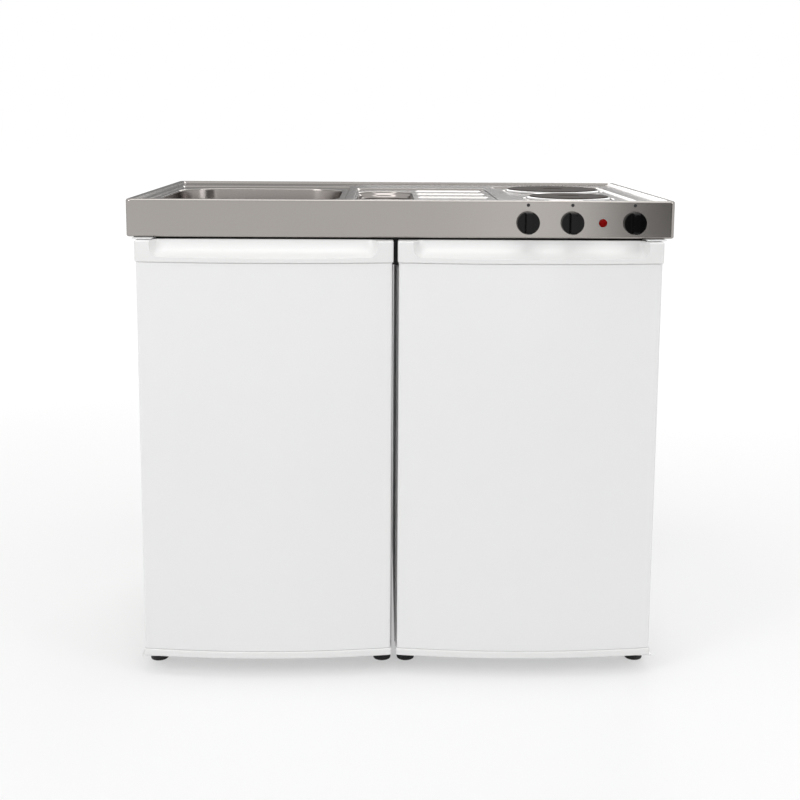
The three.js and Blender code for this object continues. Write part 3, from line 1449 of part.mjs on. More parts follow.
function buildRightDoor(parent, door) {
  buildDoor(parent, "right_door", door);
  place(parent, "right_door_seal", sealRing(door, SEAL.width), FINISH.greySeal);
  const { x0, x1, y0, z0, z1 } = sealFrame(door);
  const grow = SEAL.width + SEAT;
  const plate = box(x0 + grow, x1 - grow, y0, y0 + LINER_PLATE, z0 + grow, z1 - grow);
  const { dyke, dykeInset, dykeDepth, dykeBottom } = RACK;
  const dykeTop = doorTop - RACK.dykeDrop;
  const left = door.x0 + dykeInset;
  const right = door.x1 - dykeInset;
  const faceY = y0 + LINER_PLATE;
  const dykes = [[left, left + dyke], [right - dyke, right]].map(([a, b]) =>
    profileAlongX(
      [
        [faceY - 1, DOOR.bottom + dykeBottom],
        [faceY + dykeDepth - 12, DOOR.bottom + dykeBottom],
        [faceY + dykeDepth, DOOR.bottom + dykeBottom + 12],
        [faceY + dykeDepth, dykeTop - 20],
        [faceY + dykeDepth - 20, dykeTop],
        [faceY - 1, dykeTop],
      ],
      a,
      b,
    ),
  );
  place(parent, "right_door_liner", join(plate, ...dykes), FINISH.whitePlastic);
  const [rackX0, rackX1] = [left + dyke + SEAT, right - dyke - SEAT];
  const racks = [["bottle_rack", BOTTLE_RACK], ["upper_rack", UPPER_RACK]];
  for (const [name, rack] of racks)
    place(parent, name, rackShape(rackX0, rackX1, faceY + SEAT, rack), FINISH.clearPlastic);
}

/** The top hinge: a leaf on the frame's front rail and a plate over the door with its pin. */
function buildTopHinge(parent, name, side) {
  const { leaf, plate, half, reach, pin } = HINGE;
  const face = frameFront - SEAT - pinY;
  const plateTop = apronZ - 0.7;
  const made = join(
    box(-half, half, face - leaf, face, frameBottom + 4, plateTop),
    box(-half, half, -reach, face, plateTop - plate, plateTop),
    post(0, 0, doorTop - HINGE_PIN.top, plateTop - plate / 2, pin, 10),
    post(0, 0, doorTop + SEAT * 2, plateTop - plate / 2, pin + 3, 10),
  );
  place(parent, name, made, side.finish);
}

/** The bottom hinge: a leaf under the case, a step down and a tongue below the door. */
function buildBottomHinge(parent, name, side) {
  const { leaf, half, reach, pin } = HINGE;
  const face = caseFront - pinY;
  const tongueTop = DOOR.bottom - 1.6;
  const leafTop = BASE.bottom - SEAT;
  const made = join(
    box(-half, half, face - leaf - SEAT, face + 42, leafTop - leaf, leafTop),
    box(-half, half, face - leaf - SEAT, face - SEAT, tongueTop - leaf, leafTop),
    box(-half, half, -reach, face - SEAT, tongueTop - leaf, tongueTop),
    post(0, 0, tongueTop - leaf / 2, DOOR.bottom + HINGE_PIN.bottom, pin, 10),
    post(0, 0, tongueTop - 1, DOOR.bottom - SEAT * 2, pin + 3, 10),
  );
  place(parent, name, made, side.finish);
}

function buildDoors(parent) {
  const leftDoor = { x0: cabinet.x0 + DOOR_MARGIN.outer, x1: cabinet.x1 - DOOR_MARGIN.cabinetInner };
  const rightDoor = { x0: fridge.x0 + DOOR_MARGIN.fridgeInner, x1: fridge.x1 - DOOR_MARGIN.outer };
  const leftPin = leftDoor.x0 + HINGE.inset;
  const rightPin = rightDoor.x1 - HINGE.inset;
  const local = (door, pin) => ({ x0: door.x0 - pin, x1: door.x1 - pin });

  buildLeftDoor(groupAt(parent, leftPin, pinY), local(leftDoor, leftPin));
  buildRightDoor(groupAt(parent, rightPin, pinY), local(rightDoor, rightPin));
  const sides = [
    { name: "left", pin: leftPin, finish: FINISH.whiteSteel },
    { name: "right", pin: rightPin, finish: FINISH.whiteSteel },
  ];
  for (const side of sides) {
    const group = groupAt(parent, side.pin, pinY);
    buildTopHinge(group, side.name + "_top_hinge", side);
    buildBottomHinge(group, side.name + "_bottom_hinge", side);
  }
}

// ---------------------------------------------------------------- the whole unit

buildWorktop(groupAt(unit));
buildSink(groupAt(unit));
buildHob(groupAt(unit));
buildFrame(groupAt(unit));
buildCabinet(groupAt(unit));
buildFeet(groupAt(unit));
buildFridge(groupAt(unit));
buildDoors(groupAt(unit));

const kitchenette = new THREE.Group();
kitchenette.add(unit);

export default kitchenette;
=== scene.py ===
"""Kitchenette with sink, hot plates and refrigerator: its looks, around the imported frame.

Everything is in metres, in the frame's own place. Smooth pieces stand for the curved nodes, the
plain ones get softened copies, and every piece has a finish made of nodes.
"""

import json
import logging
import math
from collections.abc import Callable, Iterable, Sequence
from dataclasses import dataclass
from enum import Enum

import bmesh
import bpy
from mathutils import Matrix, Vector


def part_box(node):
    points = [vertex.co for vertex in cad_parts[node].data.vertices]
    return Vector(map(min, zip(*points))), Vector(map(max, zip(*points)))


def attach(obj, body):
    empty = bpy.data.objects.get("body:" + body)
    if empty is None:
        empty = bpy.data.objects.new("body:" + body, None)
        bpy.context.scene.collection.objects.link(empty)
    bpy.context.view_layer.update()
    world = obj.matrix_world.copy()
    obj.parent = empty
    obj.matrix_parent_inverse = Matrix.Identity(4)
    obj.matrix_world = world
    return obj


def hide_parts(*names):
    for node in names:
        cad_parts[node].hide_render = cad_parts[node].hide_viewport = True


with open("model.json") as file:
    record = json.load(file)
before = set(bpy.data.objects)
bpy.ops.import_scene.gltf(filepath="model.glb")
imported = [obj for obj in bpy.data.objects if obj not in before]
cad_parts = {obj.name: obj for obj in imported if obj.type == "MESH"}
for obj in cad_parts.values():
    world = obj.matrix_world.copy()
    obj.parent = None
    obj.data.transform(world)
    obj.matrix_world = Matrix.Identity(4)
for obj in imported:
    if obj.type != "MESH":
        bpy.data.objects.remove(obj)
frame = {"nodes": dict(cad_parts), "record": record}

log = logging.getLogger("kitchenette")

MM = 0.001
FULL_TURN = 2 * math.pi
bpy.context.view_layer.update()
BODIES: dict[str, list[str]] = frame["record"]["behaviour"]["bodies"]
KNOBS = ("rear_plate_knob", "front_plate_knob", "timer_knob")
WORKTOP_Y = 0.0195  # the Y of the worktop's middle
APRON_FRONT = -0.2805  # the Y of the apron's outer face and of the hinge axes
ON_END = (math.pi / 2, 0, 0)  # turns an upright drum to lie along Y
ON_SIDE = (0, math.pi / 2, 0)  # turns it to lie along X
NEAR = 1e-5  # a point this close to a level or a line counts as on it
DOUBLED = 1e-6  # points closer together than this become one
SHORT = 0.3 * MM  # shorter sides of a rounded outline are merged away
FLAT = math.radians(0.5)  # faces that meet at less than this are one plane

Point = tuple[float, float, float]
Colour = tuple[float, float, float]


# ---------------------------------------------------------------- shader building


def math_method(name: str, reflected: bool = False) -> Callable[["Value", object], "Value"]:
    """Makes a method that adds one Math node.

    Args:
        name: The Math node's operation.
        reflected: Whether the other value comes first, as in 1 - mask.

    Returns:
        The method, which takes a number or a Value.
    """

    def method(value: "Value", other: object) -> "Value":
        """Combines the value with a number or a Value."""
        first, second = (other, value) if reflected else (value, other)
        made = value.shader.node("ShaderNodeMath", {"operation": name}, {0: first, 1: second})
        return Value(value.shader, made.outputs[0])

    return method


class Value:
    """A shader socket on which arithmetic adds Math nodes."""

    def __init__(self, shader: "Shader", socket: bpy.types.NodeSocket) -> None:
        """Wraps a socket of a shader's tree."""
        self.shader = shader
        self.socket = socket

    __add__, __radd__ = math_method("ADD"), math_method("ADD", True)
    __sub__, __rsub__ = math_method("SUBTRACT"), math_method("SUBTRACT", True)
    __mul__, __rmul__ = math_method("MULTIPLY"), math_method("MULTIPLY", True)
    __truediv__, __pow__ = math_method("DIVIDE"), math_method("POWER")
    _sine = math_method("SINE")
    _at_least, _at_most = math_method("MAXIMUM"), math_method("MINIMUM")

    def sine(self) -> "Value":
        """The sine of the value, in radians."""
        return self._sine(0.0)

    def clamped(self, low: float, high: float) -> "Value":
        """The value held between two limits."""
        return self._at_least(low)._at_most(high)


class Shader:
    """One material and the nodes that feed its Principled shader."""

    def __init__(self, name: str) -> None:
        """Makes an empty material with a Principled shader on its output."""
        self.material = bpy.data.materials.new(name)
        self.material.use_nodes = True
        self.tree = self.material.node_tree
        self.tree.nodes.clear()
        self.principled = self.tree.nodes.new("ShaderNodeBsdfPrincipled")
        self.output = self.tree.nodes.new("ShaderNodeOutputMaterial")
        self.show(self.principled)

    def show(self, closure: bpy.types.Node) -> None:
        """Sends a shader node to the output."""
        self.tree.links.new(closure.outputs[0], self.output.inputs["Surface"])

    def _feed(self, socket: bpy.types.NodeSocket, value: object) -> None:
        """Links a Value to a socket, or sets a constant on it."""
        if isinstance(value, Value):
            self.tree.links.new(value.socket, socket)
        elif socket.type == "RGBA" and len(value) == 3:
            socket.default_value = (*value, 1.0)
        else:
            socket.default_value = value

    def node(self, kind: str, settings: dict[str, object], sockets: dict) -> bpy.types.Node:
        """Adds a node.

        Args:
            kind: The node's type.
            settings: Properties set first; "stops" are a ramp's (position, grey) pairs.
            sockets: Values or links of its inputs, by name or index.

        Returns:
            The new node.
        """
        made = self.tree.nodes.new(kind)
        for key, value in settings.items():
            if key == "stops":
                stops = made.color_ramp.elements
                while len(stops) < len(value):
                    stops.new(0.5)
                for stop, (position, grey) in zip(stops, value):
                    stop.position = position
                    stop.color = (grey, grey, grey, 1.0)
            else:
                setattr(made, key, value)
        for key, value in sockets.items():
            self._feed(made.inputs[key], value)
        return made

    def place(self, scale: Point = (1, 1, 1), move: Point = (0, 0, 0)) -> Value:
        """The piece's own coordinates, in metres, moved and scaled."""
        own = Value(self, self.node("ShaderNodeTexCoord", {}, {}).outputs["Object"])
        sockets = {"Vector": own, "Location": move, "Scale": scale}
        return Value(self, self.node("ShaderNodeMapping", {}, sockets).outputs[0])

    def axis(self, place: Value, name: str) -> Value:
        """One of the X, Y and Z parts of a place."""
        parts = self.node("ShaderNodeSeparateXYZ", {}, {"Vector": place})
        return Value(self, parts.outputs[name])

    def noise(self, place: Value, scale: float, detail: float = 2.0, rough: float = 0.5) -> Value:
        """Soft random variation between nought and one."""
        sockets = {"Vector": place, "Scale": scale, "Detail": detail, "Roughness": rough}
        return Value(self, self.node("ShaderNodeTexNoise", {}, sockets).outputs[0])

    def cells(self, place: Value, scale: float) -> Value:
        """Random grey cells, as on zinc-dipped sheet."""
        made = self.node("ShaderNodeTexVoronoi", {}, {"Vector": place, "Scale": scale})
        return self.axis(Value(self, made.outputs["Color"]), "X")

    def ramp(self, value: Value, stops: Sequence[tuple[float, float]]) -> Value:
        """A value sent through a grey ramp."""
        made = self.node("ShaderNodeValToRGB", {"stops": stops}, {"Fac": value})
        return Value(self, made.outputs[0])

    def blend(self, factor: Value, first: object, second: object) -> Value:
        """A colour between two colours."""
        sockets = {"Factor": factor, 6: first, 7: second}
        return Value(self, self.node("ShaderNodeMix", {"data_type": "RGBA"}, sockets).outputs[2])

    def bump(self, height: Value, depth: float, strength: float = 1.0) -> None:
        """Feeds the normal from a height between nought and one, with its depth in metres."""
        sockets = {"Height": height, "Distance": depth, "Strength": strength}
        self.surface(Normal=Value(self, self.node("ShaderNodeBump", {}, sockets).outputs[0]))

    def glow(self, grey: float, strength: float = 1.0) -> bpy.types.Node:
        """A plain grey light."""
        colour = (grey, grey, grey)
        return self.node("ShaderNodeEmission", {}, {"Color": colour, "Strength": strength})

    def surface(self, **sockets: object) -> None:
        """Sets or links inputs of the Principled shader; an underscore stands for a space."""
        for key, value in sockets.items():
            self._feed(self.principled.inputs[key.replace("_", " ")], value)


# ---------------------------------------------------------------- finishes


class Grain(Enum):
    """The direction in which a metal was brushed."""

    ACROSS = (3.0, 260.0, 260.0)
    UPRIGHT = (260.0, 260.0, 3.0)
    NONE = (40.0, 40.0, 40.0)


@dataclass(frozen=True)
class Finish:
    """What every finish has: a name, a colour and how it scatters light."""

    name: str
    colour: Colour
    roughness: float = 0.4

    def shader(self) -> Shader:
        """A new shader with the plain values set."""
        made = Shader(self.name)
        made.surface(Base_Color=self.colour, Roughness=self.roughness)
        return made

    def material(self) -> bpy.types.Material:
        """The finished material."""
        return self.shader().material


@dataclass(frozen=True)
class BrushedMetal(Finish):
    """Bare metal with a fine grain and soft patches."""

    grain: Grain = Grain.ACROSS
    spread: float = 0.06
    edge: float = 1.0
    relief: float = 0.35

    def material(self) -> bpy.types.Material:
        """The metal, with its grain in roughness and relief."""
        made = self.shader()
        place = made.place(scale=self.grain.value)
        grain = made.noise(place, 4.0, 3.0, 0.6)
        patches = made.noise(made.place(), 5.0, 3.0)
        rough = self.roughness + (grain - 0.5) * self.spread + (patches - 0.5) * self.spread
        dark = tuple(part * 0.93 for part in self.colour)
        made.surface(
            Base_Color=made.blend(patches, dark, self.colour),
            Roughness=rough.clamped(0.05, 1.0),
            Metallic=1.0,
            Specular_Tint=(self.edge, self.edge, self.edge),
        )
        made.bump(grain, 0.00002, self.relief)
        return made.material


@dataclass(frozen=True)
class Enamel(Finish):
    """Painted or moulded surface with a very slight waviness."""

    relief: float = 0.00004
    grain_scale: float = 900.0
    coat: float = 0.3
    shine: float = 0.5

    def material(self) -> bpy.types.Material:
        """The coat, with soft variation in colour and gloss."""
        made = self.shader()
        place = made.place()
        cloud = made.noise(place, 3.0, 3.0)
        shade = tuple(part * 0.975 for part in self.colour)
        made.surface(
            Base_Color=made.blend(cloud, shade, self.colour),
            Roughness=(self.roughness + (cloud - 0.5) * 0.08).clamped(0.05, 1.0),
            Specular_IOR_Level=self.shine,
            Coat_Weight=self.coat,
            Coat_Roughness=0.12,
        )
        made.bump(made.noise(place, self.grain_scale, 2.0), self.relief, 0.4)
        return made.material


@dataclass(frozen=True)
class CastIron(Finish):
    """Seasoned cast iron, faced in fine rings round a centre."""

    centre: Point = (0.0, 0.0, 0.0)
    pitch: float = 0.0022

    def material(self) -> bpy.types.Material:
        """The iron, with turning rings and a mottled, heat-tinted skin."""
        made = self.shader()
        place = made.place(move=tuple(-part for part in self.centre))
        x, y = made.axis(place, "X"), made.axis(place, "Y")
        radius = (x * x + y * y) ** 0.5
        rings = (radius * (FULL_TURN / self.pitch)).sine() * 0.5 + 0.5
        mottle = made.noise(made.place(), 60.0, 5.0, 0.7)
        broad = made.noise(made.place(), 9.0, 3.0)
        warm = tuple(part * scale for part, scale in zip(self.colour, (1.45, 1.35, 1.25)))
        made.surface(
            Base_Color=made.blend(mottle * 0.5 + broad * 0.5, self.colour, warm),
            Roughness=(self.roughness + (mottle - 0.5) * 0.2).clamped(0.2, 1.0),
            Specular_IOR_Level=0.01,
        )
        made.bump(rings * 0.6 + mottle * 0.4, 0.0001, 0.5)
        return made.material


@dataclass(frozen=True)
class ZincSheet(Finish):
    """Galvanised sheet with its faint spangle."""

    def material(self) -> bpy.types.Material:
        """The sheet, in grey cells."""
        made = self.shader()
        spangle = made.cells(made.place(), 90.0)
        dark = tuple(part * 0.8 for part in self.colour)
        made.surface(
            Base_Color=made.blend(spangle, dark, self.colour),
            Roughness=(self.roughness + (spangle - 0.5) * 0.15).clamped(0.1, 1.0),
            Metallic=0.9,
        )
        return made.material


@dataclass(frozen=True)
class Clear(Finish):
    """Glass or clear moulding."""

    index: float = 1.5

    def material(self) -> bpy.types.Material:
        """The clear material, faintly tinted."""
        made = self.shader()
        made.surface(Transmission_Weight=0.9, IOR=self.index)
        cloud = made.noise(made.place(), 20.0)
        made.surface(Roughness=(self.roughness + cloud * 0.04).clamped(0.0, 1.0))
        return made.material


@dataclass(frozen=True)
class Lens(Finish):
    """A red signal lens."""

    def material(self) -> bpy.types.Material:
        """The lens, in a slightly cloudy red."""
        made = self.shader()
        cloud = made.noise(made.place(), 300.0)
        bright = tuple(min(part * 1.6, 1.0) for part in self.colour)
        made.surface(
            Base_Color=made.blend(cloud, self.colour, bright),
            Specular_IOR_Level=0.05,
        )
        return made.material


STEEL_TOP = BrushedMetal(
    "steel_top", (0.385, 0.362, 0.342), 0.17, spread=0.02, edge=0.7, relief=0.08
)
# The bowl's steel is the top's steel made darker: painted shade for the dark inside of the bowl.
SHADED_BOWL_STEEL = BrushedMetal("bowl_steel_painted_shade", (0.34, 0.315, 0.30), 0.20, grain=Grain.UPRIGHT, edge=0.7)
CHROME = BrushedMetal("chrome_bright", (0.66, 0.65, 0.64), 0.12, grain=Grain.NONE, spread=0.03)
ZINC = ZincSheet("zinc_sheet", (0.52, 0.54, 0.55), 0.42)
ALUMINIUM = BrushedMetal("aluminium_satin", (0.76, 0.77, 0.78), 0.38)
WHITE_STEEL = Enamel("white_enamel", (0.86, 0.86, 0.86), 0.32)
WHITE_PLASTIC = Enamel(
    "white_moulding", (0.84, 0.84, 0.835), 0.36, relief=0.00003, grain_scale=1500.0, coat=0.15
)
WHITE_LINER = Enamel(
    "liner_white", (0.88, 0.885, 0.89), 0.4, relief=0.00003, grain_scale=700.0, coat=0.1
)
WHITE_BOARD = Enamel(
    "melamine_board", (0.83, 0.82, 0.80), 0.5, relief=0.00008, grain_scale=400.0, coat=0.0
)
BLACK_STEEL = Enamel(
    "black_paint", (0.02, 0.02, 0.021), 0.5, relief=0.0001, grain_scale=500.0, coat=0.0
)
BLACK_GLOSS = Enamel(
    "black_gloss", (0.002, 0.002, 0.002), 0.09, relief=0.00001, coat=0.0, shine=0.16
)
BLACK_RUBBER = Enamel("black_rubber", (0.016, 0.016, 0.017), 0.55, relief=0.0001, coat=0.0)
PRINT = Enamel("black_print", (0.012, 0.012, 0.013), 0.4, relief=0.00002, coat=0.0)
GREY_PLASTIC = Enamel("grey_moulding", (0.32, 0.32, 0.33), 0.5, relief=0.00005, coat=0.0)
GREY_SEAL = Enamel("grey_gasket", (0.55, 0.55, 0.54), 0.6, relief=0.00005, coat=0.0)
RED_LENS = Lens("red_lens", (0.14, 0.0006, 0.0006), 0.15)
GLASS = Clear("clear_glass", (0.86, 0.93, 0.91), 0.02)
CLEAR_PLASTIC = Clear("clear_moulding", (0.90, 0.94, 0.96), 0.08)


# ---------------------------------------------------------------- modelling steps


def deselect() -> None:
    """Leaves edit mode and selects nothing."""
    if bpy.context.object and bpy.context.object.mode != "OBJECT":
        bpy.ops.object.mode_set(mode="OBJECT")
    bpy.ops.object.select_all(action="DESELECT")


def s_curve(width: float, rise: float, steps: int) -> list[tuple[float, float]]:
    """Inset steps, in millimetres, that follow a soft S from level to level."""
    heights = [rise * (1 - math.cos(math.pi * i / steps)) / 2 for i in range(steps + 1)]
    return [(width / steps, b - a) for a, b in zip(heights, heights[1:])]


def quarter(
    inward: float, rise: float, steps: int = 5, flat_first: bool = False
) -> list[tuple[float, float]]:
    """Inset steps, in millimetres, round a quarter of an ellipse, upright first or flat first."""
    angles = [math.pi / 2 * i / steps for i in range(steps + 1)]
    if flat_first:
        path = [(inward * math.sin(a), rise * (1 - math.cos(a))) for a in angles]
    else:
        path = [(inward * (1 - math.cos(a)), rise * math.sin(a)) for a in angles]
    return [(b[0] - a[0], b[1] - a[1]) for a, b in zip(path, path[1:])]


def bent(t: float, first: float, second: float) -> float:
    """A cubic curve from nought to one, bent by two values on its way."""
    return 3 * (1 - t) ** 2 * t * first + 3 * (1 - t) * t**2 * second + t**3


def on_ring(centre: Point, radius: float, angle: float, rise: float = 0.0) -> Point:
    """A point at a radius and an angle round an upright axis, above a centre."""
    x, y, z = centre
    return (x + radius * math.cos(angle), y + radius * math.sin(angle), z + rise)


class Form:
    """One new piece, shaped step by step with the mesh operators."""

    def __init__(self, name: str) -> None:
        """Starts an empty mesh in edit mode.

        Args:
            name: The piece's name.
        """
        deselect()
        self.object = bpy.data.objects.new(name, bpy.data.meshes.new(name))
        bpy.context.scene.collection.objects.link(self.object)
        self.edit()

    @classmethod
    def copy_of(cls, node: str) -> "Form":
        """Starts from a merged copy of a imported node, with its flat faces made whole.

        Args:
            node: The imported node's name.

        Returns:
            The form, in edit mode.
        """
        form = cls(node + "_soft")
        bpy.ops.object.mode_set(mode="OBJECT")
        form.object.data = frame["nodes"][node].data.copy()
        form.edit()
        bpy.ops.mesh.select_all(action="SELECT")
        bpy.ops.mesh.remove_doubles(threshold=2 * DOUBLED)
        bpy.ops.mesh.dissolve_limited(angle_limit=FLAT)
        return form

    def activate(self) -> None:
        """Makes the piece the only selected and active one."""
        deselect()
        self.object.select_set(True)
        bpy.context.view_layer.objects.active = self.object

    def edit(self) -> None:
        """Opens the piece in edit mode, to be selected by its points."""
        self.activate()
        bpy.ops.object.mode_set(mode="EDIT")
        bpy.ops.mesh.select_mode(type="VERT")

    def mesh(self) -> bmesh.types.BMesh:
        """The edit mesh."""
        return bmesh.from_edit_mesh(self.object.data)

    def update(self) -> None:
        """Shows what code did to the edit mesh."""
        bmesh.update_edit_mesh(self.object.data)

    def clear(self, mode: str = "VERT") -> None:
        """Selects nothing, in one selection mode."""
        bpy.ops.mesh.select_mode(type=mode)
        bpy.ops.mesh.select_all(action="DESELECT")

    def select_edges(self, wanted: Callable[[bmesh.types.BMEdge], bool]) -> "Form":
        """Selects the edges that pass a test, and nothing else."""
        self.clear("EDGE")
        for edge in self.mesh().edges:
            if wanted(edge):
                edge.select_set(True)
        self.update()
        return self

    def edges_at(self, z: float) -> "Form":
        """Selects every edge that lies at one height."""
        return self.select_edges(lambda edge: all(abs(v.co.z - z) < NEAR for v in edge.verts))

    def plate(self, box: Sequence[float], z: float, radius: float, steps: int) -> "Form":
        """Adds a flat plate with rounded corners, facing up and selected.

        Args:
            box: Its lowest and highest X, then its lowest and highest Y.
            z: Its height.
            radius: The corners' radius.
            steps: The sides of each corner.

        Returns:
            The form itself.
        """
        x0, x1, y0, y1 = box
        centre = ((x0 + x1) / 2, (y0 + y1) / 2, z)
        self.clear()
        bpy.ops.mesh.primitive_plane_add(size=1, location=centre)
        bpy.ops.transform.resize(value=(x1 - x0, y1 - y0, 1), center_override=centre)
        if radius > 0:
            bpy.ops.mesh.bevel(offset=radius, segments=steps, affect="VERTICES", clamp_overlap=True)
            bpy.ops.mesh.remove_doubles(threshold=SHORT)
        bpy.ops.mesh.select_mode(type="FACE")
        return self

    def disc(self, centre: Point, radius: float, sides: int) -> "Form":
        """Adds a flat disc, facing up and selected."""
        self.clear()
        bpy.ops.mesh.primitive_circle_add(
            vertices=sides, radius=radius, fill_type="NGON", location=centre
        )
        bpy.ops.mesh.select_mode(type="FACE")
        return self

    def block(self, low: Point, high: Point) -> "Form":
        """Adds a box between two corners, selected."""
        centre = tuple((a + b) / 2 for a, b in zip(low, high))
        self.clear()
        bpy.ops.mesh.primitive_cube_add(size=1, location=centre)
        size = tuple(b - a for a, b in zip(low, high))
        bpy.ops.transform.resize(value=size, center_override=centre)
        return self

    def drum(
        self, centre: Point, radius: float, length: float, turn: Point = (0, 0, 0), sides: int = 32
    ) -> "Form":
        """Adds a cylinder round a centre, turned by angles, selected."""
        self.clear()
        bpy.ops.mesh.primitive_cylinder_add(
            vertices=sides, radius=radius, depth=length, location=centre, rotation=turn
        )
        return self

    def line(self, points: Iterable[Point], close: bool = False) -> "Form":
        """Adds a run of edges through points, selected."""
        self.clear()
        mesh = self.mesh()
        made = [mesh.verts.new(point) for point in points]
        for first, second in zip(made, made[1:] + made[:1] if close else made[1:]):
            mesh.edges.new((first, second))
        for vertex in made:
            vertex.select_set(True)
        mesh.select_flush(True)
        self.update()
        return self

    def outline(self, points: Iterable[Point]) -> "Form":
        """Adds a flat face through points, selected."""
        self.line(points, close=True)
        bpy.ops.mesh.edge_face_add()
        bpy.ops.mesh.select_mode(type="FACE")
        return self

    def press(self, steps: Iterable[tuple[float, float]]) -> "Form":
        """Insets the selected face again and again.

        Args:
            steps: How far each inset draws in, and how far it rises, in millimetres.

        Returns:
            The form itself.
        """
        for inward, rise in steps:
            bpy.ops.mesh.inset(thickness=inward * MM, depth=rise * MM, use_even_offset=True)
        return self

    def open(self) -> "Form":
        """Takes the selected face away and keeps its edge."""
        bpy.ops.mesh.delete(type="ONLY_FACE")
        return self

    def fill(self, z: float, x0: float = -math.inf, x1: float = math.inf) -> "Form":
        """Closes the sheet between the open edges at one height, within a span of X."""

        def is_open(edge: bmesh.types.BMEdge) -> bool:
            """Whether an edge is open and lies at the height, in the span."""
            if len(edge.link_faces) > 1:
                return False
            return all(abs(v.co.z - z) < NEAR and x0 < v.co.x < x1 for v in edge.verts)

        self.select_edges(is_open)
        bpy.ops.mesh.fill(use_beauty=True)
        return self

    def extrude(self, offset: Point) -> "Form":
        """Extrudes what is selected by an offset."""
        bpy.ops.mesh.extrude_region_move(TRANSFORM_OT_translate={"value": offset})
        return self

    def resize(self, factors: Point, centre: Point) -> "Form":
        """Scales what is selected about a point."""
        bpy.ops.transform.resize(value=factors, center_override=centre)
        return self

    def loops(
        self, steps: Iterable[tuple[float, float]], centre: Point, span: tuple[float, float]
    ) -> "Form":
        """Extrudes a loop of edges again and again, drawn in on all sides.

        Args:
            steps: How far each loop draws in, and how far it rises, in millimetres.
            centre: The middle that it draws in to.
            span: The first loop's length along X and Y.

        Returns:
            The form itself.
        """
        for inward, rise in steps:
            narrower = (span[0] - 2 * inward * MM, span[1] - 2 * inward * MM)
            self.extrude((0, 0, rise * MM))
            self.resize((narrower[0] / span[0], narrower[1] / span[1], 1), centre)
            span = narrower
        return self

    def spin(
        self, profile: Sequence[tuple[float, float]], centre: Point, steps: int, close: bool = False
    ) -> "Form":
        """Turns a profile round an upright axis.

        Args:
            profile: Its (radius, height) points, in millimetres from the centre.
            centre: A point on the axis, in metres.
            steps: The sides of the turned shape.
            close: Whether the profile ends where it begins.

        Returns:
            The form itself.
        """
        x, y, z = centre
        self.line([(x + radius * MM, y, z + height * MM) for radius, height in profile], close)
        bpy.ops.mesh.spin(steps=steps, angle=FULL_TURN, center=centre, axis=(0, 0, 1))
        return self

    def closed(self) -> "Form":
        """Merges doubled points and turns every face outwards."""
        bpy.ops.mesh.select_mode(type="VERT")
        bpy.ops.mesh.select_all(action="SELECT")
        bpy.ops.mesh.remove_doubles(threshold=DOUBLED)
        bpy.ops.mesh.normals_make_consistent(inside=False)
        return self

    def face_up(self) -> "Form":
        """Turns an open sheet's faces to its upper side."""
        self.closed()
        widest = max(self.mesh().faces, key=lambda face: face.calc_area() * abs(face.normal.z))
        if widest.normal.z < 0:
            bpy.ops.mesh.select_all(action="SELECT")
            bpy.ops.mesh.flip_normals()
        return self

    def thicken(self, sheet: float) -> "Form":
        """Gives an open sheet its thickness, below its upper side."""
        return self.face_up().modify("SOLIDIFY", thickness=sheet, offset=-1)

    def transformed(self, matrix: Matrix) -> "Form":
        """Sends the whole form through a matrix."""
        deselect()
        self.object.data.transform(matrix)
        self.edit()
        return self

    def turned(self, angle: float, centre: Point = (0, 0, 0)) -> "Form":
        """Turns the whole form about an axis along X, through a point."""
        middle = Matrix.Translation(centre)
        return self.transformed(middle @ Matrix.Rotation(angle, 4, "X") @ middle.inverted())

    def moved(self, offset: Point) -> "Form":
        """Moves the whole form by an offset."""
        return self.transformed(Matrix.Translation(offset))

    def modify(self, kind: str, **settings: object) -> "Form":
        """Adds a modifier and applies it.

        Args:
            kind: The modifier's type.
            **settings: Its properties.

        Returns:
            The form itself.
        """
        self.activate()
        made = self.object.modifiers.new(kind.title(), kind)
        for key, value in settings.items():
            setattr(made, key, value)
        bpy.ops.object.modifier_apply(modifier=made.name)
        return self

    def cut(self, tool: "Form", operation: str = "DIFFERENCE") -> "Form":
        """Cuts another form out of this one, or joins it, and removes that form."""
        tool.closed()
        self.modify("BOOLEAN", object=tool.object, operation=operation, solver="EXACT")
        bpy.data.objects.remove(tool.object)
        return self

    def soften(self, width: float, segments: int, angle: float) -> "Form":
        """Rounds the edges that are sharper than an angle, by a width in millimetres."""
        return self.modify(
            "BEVEL",
            width=width * MM,
            segments=segments,
            limit_method="ANGLE",
            angle_limit=math.radians(angle),
            use_clamp_overlap=True,
        )

    def done(
        self, finish: Finish, body: str, replaces: Sequence[str] = (), angle: float = 35.0
    ) -> bpy.types.Object:
        """Shades and dresses the piece, sets it on its body and hides the nodes that it stands for.

        Args:
            finish: Its finish.
            body: The body that it rides on.
            replaces: The nodes that it stands for.
            angle: Edges sharper than this stay sharp, in degrees.

        Returns:
            The finished object.
        """
        self.activate()
        bpy.ops.object.shade_smooth_by_angle(angle=math.radians(angle))
        self.modify("WEIGHTED_NORMAL", keep_sharp=True, weight=60)
        dress(self.object, finish)
        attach(self.object, body)
        if replaces:
            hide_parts(*replaces)
        log.info("%s: %d faces", self.object.name, len(self.object.data.polygons))
        deselect()
        return self.object


MATERIALS: dict[Finish, bpy.types.Material] = {}


def dress(piece: bpy.types.Object, finish: Finish) -> None:
    """Gives a piece its finish, and nothing else."""
    if finish not in MATERIALS:
        MATERIALS[finish] = finish.material()
    piece.data.materials.clear()
    piece.data.materials.append(MATERIALS[finish])


def middle_of(node: str) -> Point:
    """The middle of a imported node's box."""
    low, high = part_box(node)
    return tuple((a + b) / 2 for a, b in zip(low, high))


# ---------------------------------------------------------------- worktop and sink


